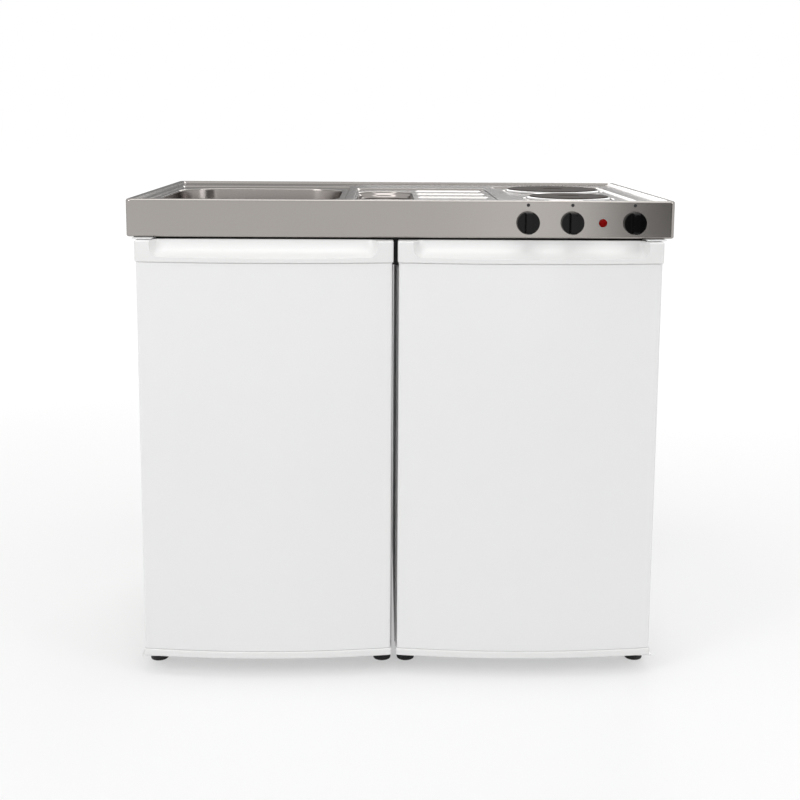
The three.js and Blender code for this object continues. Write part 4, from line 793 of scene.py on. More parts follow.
@dataclass
class Worktop:
    """The pressed top: rim, skirts, three fields, both bowls' openings, ribs and hob bead."""

    width: float = 1.0
    depth: float = 0.6
    rim: float = 0.9
    ledge: float = 0.895
    level: float = 0.892
    foot: float = 0.831
    corner: float = 0.009
    sheet: float = 0.0012
    sink_field: tuple[float, ...] = (-0.475, -0.103, -0.2425, 0.2195)
    drainer_field: tuple[float, ...] = (-0.089, 0.188, -0.2425, 0.1545)
    hob_field: tuple[float, ...] = (0.208, 0.446, -0.2425, 0.2295)
    bowl: tuple[float, ...] = (-0.464, -0.119, -0.1925, 0.1725)
    bowl_corner: float = 0.082
    side_bowl: tuple[float, ...] = (-0.084, 0.026, -0.2215, 0.0945)
    side_corner: float = 0.0549
    rib_span: tuple[float, float] = (0.033, 0.178)
    rib_rows: tuple[float, ...] = (-0.1795, -0.0845, 0.0105, 0.1055)
    rib_half: float = 0.013
    waist: float = 0.062
    bend: float = 3.0
    flange: float = 20.0
    field_corner: float = 0.017
    field_drop: float = 3.0
    lip: float = 3.2
    rib_rise: float = 1.8
    rib_flat: float = 0.0001
    bead_gap: float = 0.014
    bead_fillet: float = 0.030
    bead_rise: float = 1.6
    plate_lap: float = 7.5
    bush_hole: float = 5.6
    lamp_hole: float = 6.1

    def rim_and_skirts(self) -> Form:
        """The rolled rim down to the open ledge, with the skirts and their return flange."""
        half_x, half_y = self.width / 2, self.depth / 2
        y = WORKTOP_Y
        low = self.rim - 4 * MM
        centre = (0.0, y, low)
        span = (self.width, self.depth)
        form = Form("worktop_sheet")
        form.plate((-half_x, half_x, y - half_y, y + half_y), low, self.corner, 10).open()
        form.edges_at(low)
        slope = s_curve(8, (self.ledge - self.rim) / MM, 8)
        form.loops(quarter(4, 4) + [(6.5, 0)] + slope + [(1.5, 0)], centre, span)
        form.edges_at(low)
        drop = (low - self.foot) / MM - self.bend
        bend = quarter(self.bend, -self.bend)
        form.loops([(0, -1), (0, 1 - drop)] + bend + [(self.flange, 0)], centre, span)
        bpy.ops.mesh.select_mode(type="EDGE")
        return form

    def sink_fields(self, form: Form) -> None:
        """Sinks one field for each working place."""
        for x0, x1, y0, y1 in (self.sink_field, self.drainer_field, self.hob_field):
            form.plate((x0 - MM, x1 + MM, y0 - MM, y1 + MM), self.ledge, self.field_corner, 8)
            form.press([(1, 0)] + s_curve(5, -self.field_drop, 8) + [(1, 0)]).open()
        form.fill(self.ledge)

    def bowl_edge(self, form: Form, box: Sequence[float], radius: float) -> None:
        """Rolls the sheet down into a bowl."""
        x0, x1, y0, y1 = box
        lip = self.lip * MM
        form.plate((x0 - lip, x1 + lip, y0 - lip, y1 + lip), self.level, radius + lip, 16)
        form.press([(1, 0)] + quarter(2.2, -2.2, 5, True)).open()

    def drainer(self, form: Form) -> None:
        """Presses the drainer's ribs."""
        for row in self.rib_rows:
            a, b = self.rib_span
            half = self.rib_half
            form.plate((a, b, row - half, row + half), self.level, half - self.rib_flat, 8)
            form.press([(0.8, 0)] + s_curve(9, self.rib_rise, 8))

    def bead_outline(self, around: float, steps: int = 40) -> list[Point]:
        """The figure eight round both plates, with a hollow fillet at its waist.

        Args:
            around: How far it stands off the plates.
            steps: Sides of each round part.

        Returns:
            The outline's points, anticlockwise.
        """
        rear, front = self.plate_places()
        x = rear[0]
        fillet = self.bead_fillet
        across = self.waist + fillet
        points: list[Point] = []

        def reach(radius: float) -> tuple[float, float]:
            """How far a fillet's centre lies from a plate's along Y, and its angle."""
            along = math.sqrt(max((radius + fillet) ** 2 - across**2, 0.0))
            return along, math.atan2(along, across)

        def arc(cx: float, cy: float, radius: float, start: float, end: float, count: int) -> None:
            """Adds the points of one arc."""
            for i in range(count + 1):
                angle = start + (end - start) * i / count
                points.append(on_ring((cx, cy, self.level), radius, angle))

        rear_r, front_r = rear[2] + around, front[2] + around
        rear_along, rear_angle = reach(rear_r)
        front_along, front_angle = reach(front_r)
        rear_y, front_y = rear[1] - rear_along, front[1] + front_along
        arc(x, rear[1], rear_r, -rear_angle, math.pi + rear_angle, steps)
        arc(x - across, rear_y, fillet, rear_angle, 0, 6)
        arc(x - across, front_y, fillet, 0, -front_angle, 6)
        arc(x, front[1], front_r, math.pi - front_angle, FULL_TURN + front_angle, steps)
        arc(x + across, front_y, fillet, math.pi + front_angle, math.pi, 6)
        arc(x + across, rear_y, fillet, math.pi, math.pi - rear_angle, 6)
        kept = [points[0]]
        for point in points[1:-1]:
            if (Vector(point) - Vector(kept[-1])).length > SHORT:
                kept.append(point)
        return kept

    def plate_places(self) -> list[tuple[float, float, float]]:
        """The X, Y and radius of the rear and the front hot plate."""
        places = []
        for node in ("rear_hotplate", "front_hotplate"):
            x, y, _ = middle_of(node)
            places.append((x, y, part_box(node)[1][1] - y))
        return places

    def hob(self, form: Form) -> None:
        """Presses the bead and cuts the holes for the plates."""
        form.outline(self.bead_outline(self.bead_gap))
        bead = s_curve(3, self.bead_rise, 5) + s_curve(3, -self.bead_rise, 5)
        form.press([(0.4, 0)] + bead + [(0.6, 0)]).open()
        for x, y, radius in self.plate_places():
            form.disc((x, y, self.level), radius - self.plate_lap * MM, 64).open()
        form.fill(self.level, self.hob_field[0], self.hob_field[1])

    def apron_holes(self) -> Form:
        """Cutters for the switches' bushes and the lamp."""
        tool = Form("apron_holes")
        for node in (*KNOBS, "pilot_lamp"):
            x, _, z = middle_of(node)
            radius = self.bush_hole if node in KNOBS else self.lamp_hole
            tool.drum((x, APRON_FRONT, z), radius * MM, 12 * MM, ON_END)
        return tool

    def build(self) -> None:
        """Makes the worktop."""
        form = self.rim_and_skirts()
        self.sink_fields(form)
        self.bowl_edge(form, self.bowl, self.bowl_corner)
        form.fill(self.level, *self.sink_field[:2])
        self.bowl_edge(form, self.side_bowl, self.side_corner)
        self.drainer(form)
        form.fill(self.level, *self.drainer_field[:2])
        self.hob(form)
        form.thicken(self.sheet).cut(self.apron_holes())
        form.done(STEEL_TOP, "unit", ["worktop"], 60)


@dataclass
class Sink:
    """The drawn bowl, its basket waste and the trap below, and the shallow side bowl."""

    top: Worktop
    bowl_depth: float = 150.0
    wall_run: float = 9.0
    base_radius: float = 26.0
    side_depth: float = 14.0
    side_holes: tuple[float, ...] = (-0.052, -0.038)
    flange_drop: float = 2.25
    bend: float = 1.4
    waste_hole: float = 43.6
    pipe_rise: float = 24.0
    side_hole: float = 3.6
    basket_hole: float = 2.6
    cup_rim: float = -152.3
    cup_grooves: int = 12

    def drawn(self, name: str, box: Sequence[float], radius: float, flange: float) -> Form:
        """Starts a bowl: the flange below the sheet and the bend into the wall.

        Args:
            name: The form's name.
            box: The opening's lowest and highest X, then its lowest and highest Y.
            radius: The opening's corners.
            flange: The flange's width, in millimetres.

        Returns:
            The form, with the bend's inner face selected.
        """
        x0, x1, y0, y1 = box
        grow = flange * MM
        form = Form(name)
        start = self.top.level - self.flange_drop * MM
        form.plate((x0 - grow, x1 + grow, y0 - grow, y1 + grow), start, radius + grow, 16)
        return form.press([(flange - self.bend, 0)] + quarter(self.bend, -self.bend, 4, True))

    def centre(self) -> Point:
        """The middle of the main bowl's floor."""
        x0, x1, y0, y1 = self.top.bowl
        return ((x0 + x1) / 2, (y0 + y1) / 2, self.top.level - self.bowl_depth * MM)

    def bowl(self) -> None:
        """Makes the main bowl, with the hole for its waste."""
        form = self.drawn("sink_bowl_drawn", self.top.bowl, self.top.bowl_corner, 9)
        fall = self.bowl_depth - self.flange_drop - self.bend - self.base_radius
        form.press([(self.wall_run / 8, -fall / 8)] * 8)
        form.press(quarter(self.base_radius, -self.base_radius, 9) + [(4, 0)]).open()
        centre = self.centre()
        form.disc(centre, self.waste_hole * MM, 64).press([(0.3, 0)]).open()
        form.fill(centre[2]).thicken(self.top.sheet)
        form.done(SHADED_BOWL_STEEL, "unit", ["sink_bowl"], 60)

    def side_bowl(self) -> None:
        """Makes the side bowl, with its two small holes."""
        y0, y1 = self.top.side_bowl[2:]
        form = self.drawn("side_bowl_drawn", self.top.side_bowl, self.top.side_corner, 4.5)
        wall = [(1.5, -2), (1.6, -2)]
        fall = self.side_depth - self.flange_drop - self.bend + sum(rise for _, rise in wall)
        form.press(wall + quarter(7.5, -fall, 8) + [(1.5, 0)]).open()
        floor = self.top.level - self.side_depth * MM
        for x in self.side_holes:
            form.disc((x, (y0 + y1) / 2, floor), self.side_hole * MM, 20)
            form.press([(0.3, -0.1), (0.3, -0.4)]).open()
        form.fill(floor).thicken(self.top.sheet)
        form.done(SHADED_BOWL_STEEL, "unit", ["side_bowl"], 60)

    def waste(self) -> None:
        """Turns the flanged waste and its lift-out basket."""
        centre = self.centre()
        form = Form("waste_flange")
        profile = [
            (40.5, -36), (37, -37.6), (17, -39), (17, -74), (20, -74), (20, -41), (38, -39.6),
            (42.5, -37), (42.5, -8.5), (51.5, -8.5), (51.5, -1.5), (42.5, -1.5), (42.5, 0.3),
            (55, 0.3), (54.6, 0.9), (50, 1.5), (45, 1.7), (42, 1.5), (40.8, 0.6), (40.5, -1),
        ]
        form.spin(profile, centre, 72, close=True).closed()
        form.soften(0.3, 2, 40).done(CHROME, "unit", ["sink_waste"])

        basket = Form("basket_turned")
        profile = [
            (0, -29), (34, -29), (37.6, -28), (39.2, -25), (39.3, 2), (42.8, 2), (43.3, 2.5),
            (42.6, 3.1), (38.2, 3.1), (37.9, 2), (37.9, -24.4), (36.8, -26.6), (34, -27.6),
            (3, -27.6), (2.6, -26), (2.6, 5), (8, 6.6), (9, 8), (9, 10.6), (7.6, 12.4), (4, 13),
            (0, 13.1),
        ]
        basket.spin(profile, centre, 64).closed()
        tool = Form("basket_holes")
        for ring, count in ((13, 6), (22, 10), (31, 14)):
            for i in range(count):
                angle = FULL_TURN * (i + ring % 2 / 2) / count
                at = on_ring(centre, ring * MM, angle, -28.3 * MM)
                tool.drum(at, self.basket_hole * MM, 6 * MM, sides=16)
        basket.cut(tool).done(CHROME, "basket_strainer", ["basket_strainer"], 40)

    def trap(self) -> None:
        """Turns the trap's body, and draws its outlet to the wall."""
        centre = self.centre()
        x, y, _ = centre
        form = Form("trap_turned")
        profile = [
            (0, -152), (27, -152), (31, -151), (32, -148), (32, -101), (30, -99.5), (24, -96),
            (23, -94), (23, -76.5), (25.4, -75.5), (26, -74), (26, -52), (25, -50.8), (21, -50.8),
            (21, -74.3), (0, -74.3),
        ]
        form.spin(profile, centre, 48).closed()
        low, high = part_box("trap_body")
        end, pipe_z = high[1], low[2] + self.pipe_rise * MM
        outlet = Form("trap_outlet")
        start = y + 26 * MM
        outlet.drum((x, (start + end) / 2, pipe_z), 16 * MM, end - start, ON_END, 48)
        form.cut(outlet, "UNION")
        nut = Form("trap_nut")
        nut.drum((x, y + 37 * MM, pipe_z), 22 * MM, 18 * MM, ON_END, 12)
        form.cut(nut, "UNION")
        side = Form("trap_side")
        side.drum((x + 42 * MM, y, pipe_z), 12 * MM, 32 * MM, ON_SIDE, 40)
        form.cut(side, "UNION")
        bores = Form("trap_bores")
        bores.drum((x, end - 10 * MM, pipe_z), 13.5 * MM, 60 * MM, ON_END, 40)
        bores.drum((x + 53 * MM, y, pipe_z), 8.9 * MM, 30 * MM, ON_SIDE, 40)
        form.cut(bores).soften(0.8, 2, 30).done(WHITE_PLASTIC, "unit", ["trap_body"])

    def cup(self) -> None:
        """Turns the trap's cup, with grooves round its rim to hold it by."""
        centre, top = self.centre(), self.cup_rim
        cup = Form("trap_cup_turned")
        profile = [
            (0, top - 44), (20, top - 44), (26, top - 42.4), (30, top - 36), (33, top - 16),
            (35, top - 14), (35, top), (0, top),
        ]
        cup.spin(profile, centre, 48).closed()
        grooves = Form("cup_grooves")
        for i in range(self.cup_grooves):
            at = on_ring(centre, 36.2 * MM, FULL_TURN * i / self.cup_grooves, (top - 7) * MM)
            grooves.drum(at, 2.2 * MM, 15 * MM, sides=16)
        cup.cut(grooves).soften(0.7, 2, 30).done(WHITE_PLASTIC, "unit", ["trap_cup"])

    def build(self) -> None:
        """Makes every piece of the sink."""
        self.bowl()
        self.side_bowl()
        self.waste()
        self.trap()
        self.cup()


# ---------------------------------------------------------------- hob and controls


@dataclass
class Hob:
    """The two hot plates with their rings, the three knobs and the lamp."""

    top: Worktop
    knob_radius: float = 21.0
    knob_height: float = 22.0
    bar_half: float = 6.6
    bar_flare: float = 2.6
    bar_foot: float = 8.0
    dot_radius: float = 3.1
    dot_height: float = 0.8917
    dot_gap: float = 0.00006
    ink: float = 0.00005

    def plate(self, node: str, centre: Point, radius: float) -> None:
        """Turns one cast-iron plate, with its recessed middle."""
        r = radius / MM
        form = Form(node + "_cast")
        profile = [
            (0, -46), (4, -46), (4, -20), (r - 18, -20), (r - 12, -17), (r - 12, 1.6),
            (r - 1.5, 1.6), (r, 2.6), (r, 4.9), (r - 0.5, 5.6), (r - 1.6, 6), (r - 14, 6),
            (r - 14.8, 5.7), (r - 15.6, 6), (22, 6), (21, 5.7), (20.3, 5), (19.4, 4.8), (0, 4.8),
        ]
        form.spin(profile, centre, 96).closed()
        finish = CastIron(node + "_iron", (0.040, 0.036, 0.034), 0.6, tuple(centre))
        form.soften(0.25, 2, 40).done(finish, "unit", [node], 40)

    def ring(self, node: str, centre: Point, radius: float) -> None:
        """Turns the domed ring round one plate."""
        r = radius / MM
        form = Form(node + "_turned")
        profile = [
            (r - 10, 0.3), (r + 5.6, 0.3), (r + 6, 0.6), (r + 5.7, 1.3), (r + 4.8, 2.5),
            (r + 3.4, 3.6), (r + 2.1, 4.1), (r + 1.1, 4.1), (r + 0.5, 3.6), (r + 0.3, 2.6),
            (r + 0.3, 1.3), (r - 10, 1.3),
        ]
        form.spin(profile, centre, 96, close=True).closed()
        form.done(CHROME, "unit", [node], 50)

    def knob(self, name: str) -> None:
        """Shapes one knob: a round body scooped away on both sides of its grip bar."""
        x, _, z = middle_of(name)
        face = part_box(name)[0][1] + self.knob_height * MM
        r, h = self.knob_radius, self.knob_height
        form = Form(name + "_moulded")
        profile = [
            (0, -20.6), (3, -20.6), (3, 3.2), (15, 3.2), (15.3, 0), (r - 1, 0), (r - 0.2, 0.5),
            (r, 1.3), (r, 5.5), (r - 0.4, 7.4), (r - 1, h - 5), (r - 2, h - 1.6),
            (r - 3.6, h - 0.3), (r - 6, h), (0, h),
        ]
        form.spin(profile, (x, 0, z), 64).closed()
        tool = Form("knob_scoops")
        beyond = 40 * MM  # past the knob on every side
        for side in (-1, 1):
            near, far = x + side * self.bar_half * MM, x + side * beyond
            low_z, high_z = z + self.bar_foot * MM, z + beyond
            tool.block((min(near, far), -beyond, low_z), (max(near, far), beyond, high_z))
            for vertex in tool.mesh().verts:
                if vertex.co.z > z + beyond / 2 and abs(vertex.co.x - near) < NEAR:
                    vertex.co.x -= side * self.bar_flare * MM
            tool.update()
        form.cut(tool)
        form.soften(0.9, 3, 35).turned(math.pi / 2, (x, 0, z)).moved((0, face, 0))
        form.done(BLACK_GLOSS, name, [name], 40)

    def lamp(self) -> None:
        """Turns the pilot lamp: body, narrow bezel and domed lens in one."""
        x, _, z = middle_of("pilot_lamp")
        form = Form("lamp_lens")
        profile = [
            (0, -20), (5.8, -20), (5.8, 0.3), (7.4, 0.3), (7.6, 0.6), (7.4, 1.3), (6.7, 1.7),
            (6.2, 1.7), (6.0, 2.4), (5.2, 3.2), (3.6, 3.8), (1.8, 4.05), (0, 4.1),
        ]
        form.spin(profile, (x, 0, z), 48).closed()
        form.turned(math.pi / 2, (x, 0, z)).moved((0, APRON_FRONT, 0))
        form.done(RED_LENS, "unit", ["pilot_lamp"], 40)

    def dots(self) -> None:
        """Prints the plain dot above each knob."""
        form = Form("printed_dots")
        for name in KNOBS:
            form.disc((middle_of(name)[0], 0.0, 0.0), self.dot_radius * MM, 32)
            form.press([(0.25, 0.06)])
        form.turned(math.pi / 2).moved((0, APRON_FRONT - self.dot_gap, self.dot_height))
        form.modify("SOLIDIFY", thickness=self.ink, offset=1)
        form.done(PRINT, "unit")

    def build(self) -> None:
        """Makes every piece of the hob and its controls."""
        places = self.top.plate_places()
        for name, (x, y, radius) in zip(("rear", "front"), places):
            centre = (x, y, self.top.level)
            self.plate(name + "_hotplate", centre, radius)
            self.ring(name + "_spill_ring", centre, radius)
        for name in KNOBS:
            self.knob(name)
        self.lamp()
        self.dots()


# ---------------------------------------------------------------- doors and feet


@dataclass
class Door:
    """One bowed door: sheet panel between two moulded caps, the upper one with a grip."""

    name: str
    pin_x: float
    pin_y: float = APRON_FRONT
    pin_bore: float = 4.4
    corner: float = 5.0
    rim_round: float = 3.0
    joint_round: float = 2.4
    back: float = -0.2655
    front: float = -0.3025
    bow: float = 0.017
    top: float = 0.827
    grip_inset: float = 0.028
    grip_height: float = 0.031
    grip_depth: float = 0.026
    grip_corner: float = 0.017
    grip_taper: float = 0.012
    grip_above: float = 0.06
    grip_back: tuple[float, float] = (0.62, 0.86)
    grip_rise: tuple[float, float] = (0.06, 0.35)

    def outline(self, x0: float, x1: float, inset: float, z: float, steps: int = 40) -> list[Point]:
        """The door's plan: flat back and bowed front.

        Args:
            x0: Its left side.
            x1: Its right side.
            inset: How far it is drawn in.
            z: Its height.
            steps: Sides of the bow.

        Returns:
            The outline's points.
        """
        half = (x1 - x0) / 2
        radius = (half**2 + self.bow**2) / (2 * self.bow)
        middle = (x0 + x1) / 2
        y_centre = self.front + inset - self.bow + radius
        points = [(x1, self.back, z), (x0, self.back, z)]
        for i in range(steps + 1):
            x = x0 + (x1 - x0) * i / steps
            points.append((x, y_centre - math.sqrt(radius**2 - (x - middle) ** 2), z))
        return points

    def slab(self, name: str, node: str, inset: float) -> Form:
        """Raises the outline over a node's height and rounds its upright front corners."""
        low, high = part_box(node)
        form = Form(name)
        form.outline(self.outline(low[0], high[0], inset, low[2]))
        form.extrude((0, 0, high[2] - low[2]))
        form.closed()

        def is_corner(edge: bmesh.types.BMEdge) -> bool:
            """Whether an edge stands upright at a front corner."""
            a, b = (v.co for v in edge.verts)
            if abs(a.z - b.z) < NEAR or abs(a.y - self.back) < NEAR:
                return False
            return min(abs(a.x - low[0]), abs(a.x - high[0])) < NEAR

        form.select_edges(is_corner)
        bpy.ops.mesh.bevel(offset=self.corner * MM, segments=7, affect="EDGES")
        return form

    def edge_ring(self, form: Form, z: float, width: float, segments: int) -> None:
        """Rounds the edges round a slab at one height, by a width in millimetres."""
        form.edges_at(z)
        bpy.ops.mesh.bevel(offset=width * MM, segments=segments, affect="EDGES")

    def grip_tool(self, low: Point, high: Point) -> Form:
        """The cutter for the grip: a hollow that sweeps back and up, with tapering ends."""
        x0, x1 = low[0] + self.grip_inset, high[0] - self.grip_inset
        floor = self.top - self.grip_height
        start = self.front - self.bow - MM
        reach = self.bow + self.grip_depth + MM
        far = -(self.top + self.grip_above)
        form = Form(self.name + "_grip")
        form.plate((x0, x1, far, -floor), start, self.grip_corner, 10)
        centre_x = (x0 + x1) / 2
        steps = 12
        width, height = x1 - x0, -floor - far
        before = start
        for i in range(1, steps + 1):
            t = i / steps
            z = floor + bent(t, *self.grip_rise) * (self.grip_height + MM)
            w = start + bent(t, *self.grip_back) * reach
            taper = max(0.0, (w - start - self.bow) / (reach - self.bow)) * self.grip_taper
            new_width = x1 - x0 - 2 * taper
            new_height = -z - far
            form.extrude((0, 0, w - before))
            form.resize((new_width / width, new_height / height, 1), (centre_x, far, w))
            width, height, before = new_width, new_height, w
        form.closed()
        return form.turned(-math.pi / 2)

    def build(self) -> None:
        """Makes the panel and both caps."""
        panel = self.slab(self.name + "_sheet", self.name + "_panel", 2 * MM)
        low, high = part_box(self.name + "_panel")
        for z in (low[2], high[2]):
            self.edge_ring(panel, z, 1.0, 3)
        panel.done(WHITE_STEEL, self.name, [self.name + "_panel"])

        node = self.name + "_top_cap"
        low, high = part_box(node)
        cap = self.slab(self.name + "_cap_moulded", node, 0.0)
        self.edge_ring(cap, high[2], self.rim_round, 5)
        self.edge_ring(cap, low[2], self.joint_round, 3)
        tool = self.grip_tool(low, high)
        tool.drum((self.pin_x, self.pin_y, high[2]), self.pin_bore * MM, 40 * MM)
        cap.cut(tool)
        cap.soften(1.0, 3, 40).done(WHITE_PLASTIC, self.name, [node])

        node = self.name + "_bottom_cap"
        low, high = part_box(node)
        foot = self.slab(self.name + "_foot_moulded", node, 0.0)
        self.edge_ring(foot, low[2], self.rim_round, 5)
        self.edge_ring(foot, high[2], self.joint_round, 3)
        bore = Form("pin_bore")
        bore.drum((self.pin_x, self.pin_y, low[2]), self.pin_bore * MM, 26 * MM)
        foot.cut(bore).done(WHITE_PLASTIC, self.name, [node])


@dataclass
class Feet:
    """The levelling feet: a ribbed rubber pad on a threaded stem."""

    nodes: tuple[str, ...] = (
        "cabinet_foot_front_left",
        "cabinet_foot_front_right",
        "fridge_foot_front_left",
        "fridge_foot_front_right",
    )
    sides: tuple[str, ...] = ("cabinet_left_side", "cabinet_right_side")
    back_y: float = 0.2645
    back_height: float = 42.0
    inset: float = 0.018

    def foot(self, name: str, x: float, y: float, h: float) -> Form:
        """Turns one foot of a height in millimetres."""
        profile = [(0, 0), (14.8, 0), (16.6, 0.8), (17, 2.4)]
        for i in range(4):
            z = 2.8 + i * 2.3
            profile += [(17, z), (16.2, z + 0.5), (16.2, z + 1.4), (17, z + 1.9)]
        profile += [(16.4, 12.4), (12, 16), (8.4, 17)]
        for i in range(5):
            z = 17.4 + i * (h - 23.5) / 5
            profile += [(8, z), (7.3, z + (h - 23.5) / 10)]
        profile += [(8, h - 5.5), (13, h - 4), (13, h), (0, h)]
        return Form(name).spin(profile, (x, y, 0), 40).closed()

    def build(self) -> None:
        """Turns one foot for each node, and one under the back of each side board."""
        for node in self.nodes:
            x, y, _ = middle_of(node)
            form = self.foot(node + "_turned", x, y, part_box(node)[1][2] / MM)
            form.done(BLACK_RUBBER, "unit", [node], 40)
        for node in self.sides:
            low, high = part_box(node)
            x = low[0] + self.inset if "left" in node else high[0] - self.inset
            form = self.foot(node + "_foot", x, self.back_y, self.back_height)
            form.done(BLACK_RUBBER, "unit", (), 40)


# ---------------------------------------------------------------- cooling unit


@dataclass
class Cooling:
    """The compressor and the condenser coil at the refrigerator's back."""

    base_half: tuple[float, float] = (70.0, 36.0)
    runs: int = 7
    tube: float = 2.35
    wire: float = 0.65
    wires: int = 44
    margin: float = 0.012
    bracket_half: float = 0.007
    bracket_height: float = 0.012

    def compressor(self) -> None:
        """Turns the welded shell on its base plate, with its relay box."""
        low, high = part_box("compressor")
        half_x, half_y = (part * MM for part in self.base_half)
        x, y, z = low[0] + half_x, (low[1] + high[1]) / 2, low[2]
        form = Form("compressor_shell")
        profile = [
            (0, 8), (30, 8), (46, 10), (54, 15), (58.5, 24), (60, 36), (60, 63.6), (62.6, 64.4),
            (63, 66), (63, 71), (62.4, 72.6), (60, 73.4), (60, 92), (58.6, 108), (54, 124),
            (45, 138), (32, 146), (16, 149.4), (0, 150),
        ]
        form.spin(profile, (x, y, z), 64).closed()
        foot = Form("compressor_foot")
        foot.drum((x, y, z + 7 * MM), 30 * MM, 10 * MM)
        foot.block((x - half_x, y - half_y, z), (x + half_x, y + half_y, z + 3 * MM))
        form.cut(foot, "UNION")
        relay = Form("compressor_relay")
        relay.block(
            (x + 50 * MM, y - 16 * MM, z + 30 * MM), (x + 74 * MM, y + 16 * MM, z + 60 * MM)
        )
        form.cut(relay, "UNION")
        form.soften(1.2, 2, 40).done(BLACK_STEEL, "unit", ["compressor"])

    def condenser(self) -> None:
        """Bends the tube back and forth and lays the wires across it."""
        low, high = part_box("condenser")
        strap_low, strap_top = low[2], high[2]
        bottom, top = strap_low + self.margin, strap_top - self.margin
        pitch = (top - bottom) / (self.runs - 1)
        bend = pitch / 2
        y = high[1] - (self.tube + self.wire) * MM
        x0, x1 = low[0] + self.tube * MM + bend, high[0] - self.tube * MM - bend
        form = Form("condenser_coil")
        form.clear()
        bpy.ops.mesh.primitive_circle_add(
            vertices=12, radius=self.tube * MM, location=(x0, y, bottom), rotation=ON_SIDE
        )
        bpy.ops.mesh.select_mode(type="EDGE")
        for run in range(self.runs):
            side = 1 if run % 2 == 0 else -1
            form.extrude((side * (x1 - x0), 0, 0))
            if run + 1 == self.runs:
                break
            z = bottom + run * pitch + bend
            bpy.ops.mesh.spin(
                steps=10, angle=math.pi, center=(x1 if side > 0 else x0, y, z), axis=(0, side, 0)
            )
        form.closed()
        bpy.ops.mesh.select_mode(type="EDGE")
        form.select_edges(lambda edge: len(edge.link_faces) < 2)
        bpy.ops.mesh.edge_face_add()
        wire_span = (x1 - x0 - 2 * self.margin) / (self.wires - 1)
        for i in range(self.wires):
            x = x0 + self.margin + i * wire_span
            for side in (-1, 1):
                at = (x, y + side * self.tube * MM, (strap_low + strap_top) / 2)
                form.drum(at, self.wire * MM, strap_top - strap_low, sides=6)
        for share in (0.25, 0.75):
            x = low[0] + 3 * MM + share * (high[0] - low[0] - 6 * MM)
            for z in (bottom + 18 * MM, top - 30 * MM):
                near = (x - self.bracket_half, low[1], z)
                form.block(near, (x + self.bracket_half, y, z + self.bracket_height))
        form.closed()
        form.done(BLACK_STEEL, "unit", ["condenser"], 40)

    def build(self) -> None:
        """Makes the compressor and the condenser."""
        self.compressor()
        self.condenser()


# ---------------------------------------------------------------- softened nodes


@dataclass(frozen=True)
class Softening:
    """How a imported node's edges are rounded, its finish, and the height its copy starts at."""

    width: float
    finish: Finish
    segments: int = 2
    from_z: float = 0.0


ABOVE_FEET = 0.0421  # the side boards' copies leave the feet below this to their own pieces
SOFTENED: tuple[tuple[tuple[str, ...], Softening], ...] = (
    # The frame's black paint is partly painted shade: it also stands in for the shade in the slot
    # between the doors, above the cases' fronts.
    (("support_frame",), Softening(1.2, BLACK_STEEL)),
    (("cabinet_left_side", "cabinet_right_side"), Softening(0.8, WHITE_BOARD, from_z=ABOVE_FEET)),
    (("cabinet_floor", "cabinet_shelf"), Softening(0.8, WHITE_BOARD)),
    (("cabinet_back",), Softening(0.5, WHITE_BOARD)),
    (("fridge_case",), Softening(2.0, WHITE_STEEL, 3)),
    (("fridge_liner",), Softening(0.8, WHITE_LINER)),
    (("left_door_liner",), Softening(1.5, WHITE_LINER, 3)),
    (("right_door_seal",), Softening(2.5, GREY_SEAL, 3)),
    (("right_door_liner",), Softening(3.0, WHITE_LINER, 4)),
    (("lower_shelf", "upper_shelf"), Softening(0.8, GLASS)),
    (("crisper_drawer", "bottle_rack", "upper_rack"), Softening(0.7, CLEAR_PLASTIC)),
    (("ice_box",), Softening(0.5, ALUMINIUM)),
    (("ice_box_flap",), Softening(0.7, CLEAR_PLASTIC)),
    (("thermostat_housing",), Softening(2.5, WHITE_PLASTIC, 3)),
    (("thermostat_dial",), Softening(0.4, GREY_PLASTIC)),
    (("compressor_tray", "hob_tray"), Softening(0.5, ZINC)),
    (("rear_clamp", "front_clamp"), Softening(0.8, ZINC)),
    (("rear_plate_switch", "front_plate_switch", "timer_switch"), Softening(1.2, GREY_PLASTIC)),
    (("left_top_hinge", "right_top_hinge"), Softening(0.7, WHITE_STEEL)),
    (("left_bottom_hinge", "right_bottom_hinge"), Softening(0.7, WHITE_STEEL)),
    (("side_waste_pipe",), Softening(1.0, GREY_PLASTIC)),
)


def soften_nodes() -> None:
    """Puts a softened copy in the place of each plain node."""
    riders = {node: body for body, nodes in BODIES.items() for node in nodes}
    for nodes, how in SOFTENED:
        for node in nodes:
            form = Form.copy_of(node)
            if how.from_z > 0:
                bpy.ops.mesh.select_all(action="SELECT")
                level = {"plane_co": (0, 0, how.from_z), "plane_no": (0, 0, 1)}
                bpy.ops.mesh.bisect(**level, use_fill=True, clear_inner=True)
            form.soften(how.width, how.segments, 32)
            form.done(how.finish, riders[node], [node])


# ---------------------------------------------------------------- studio


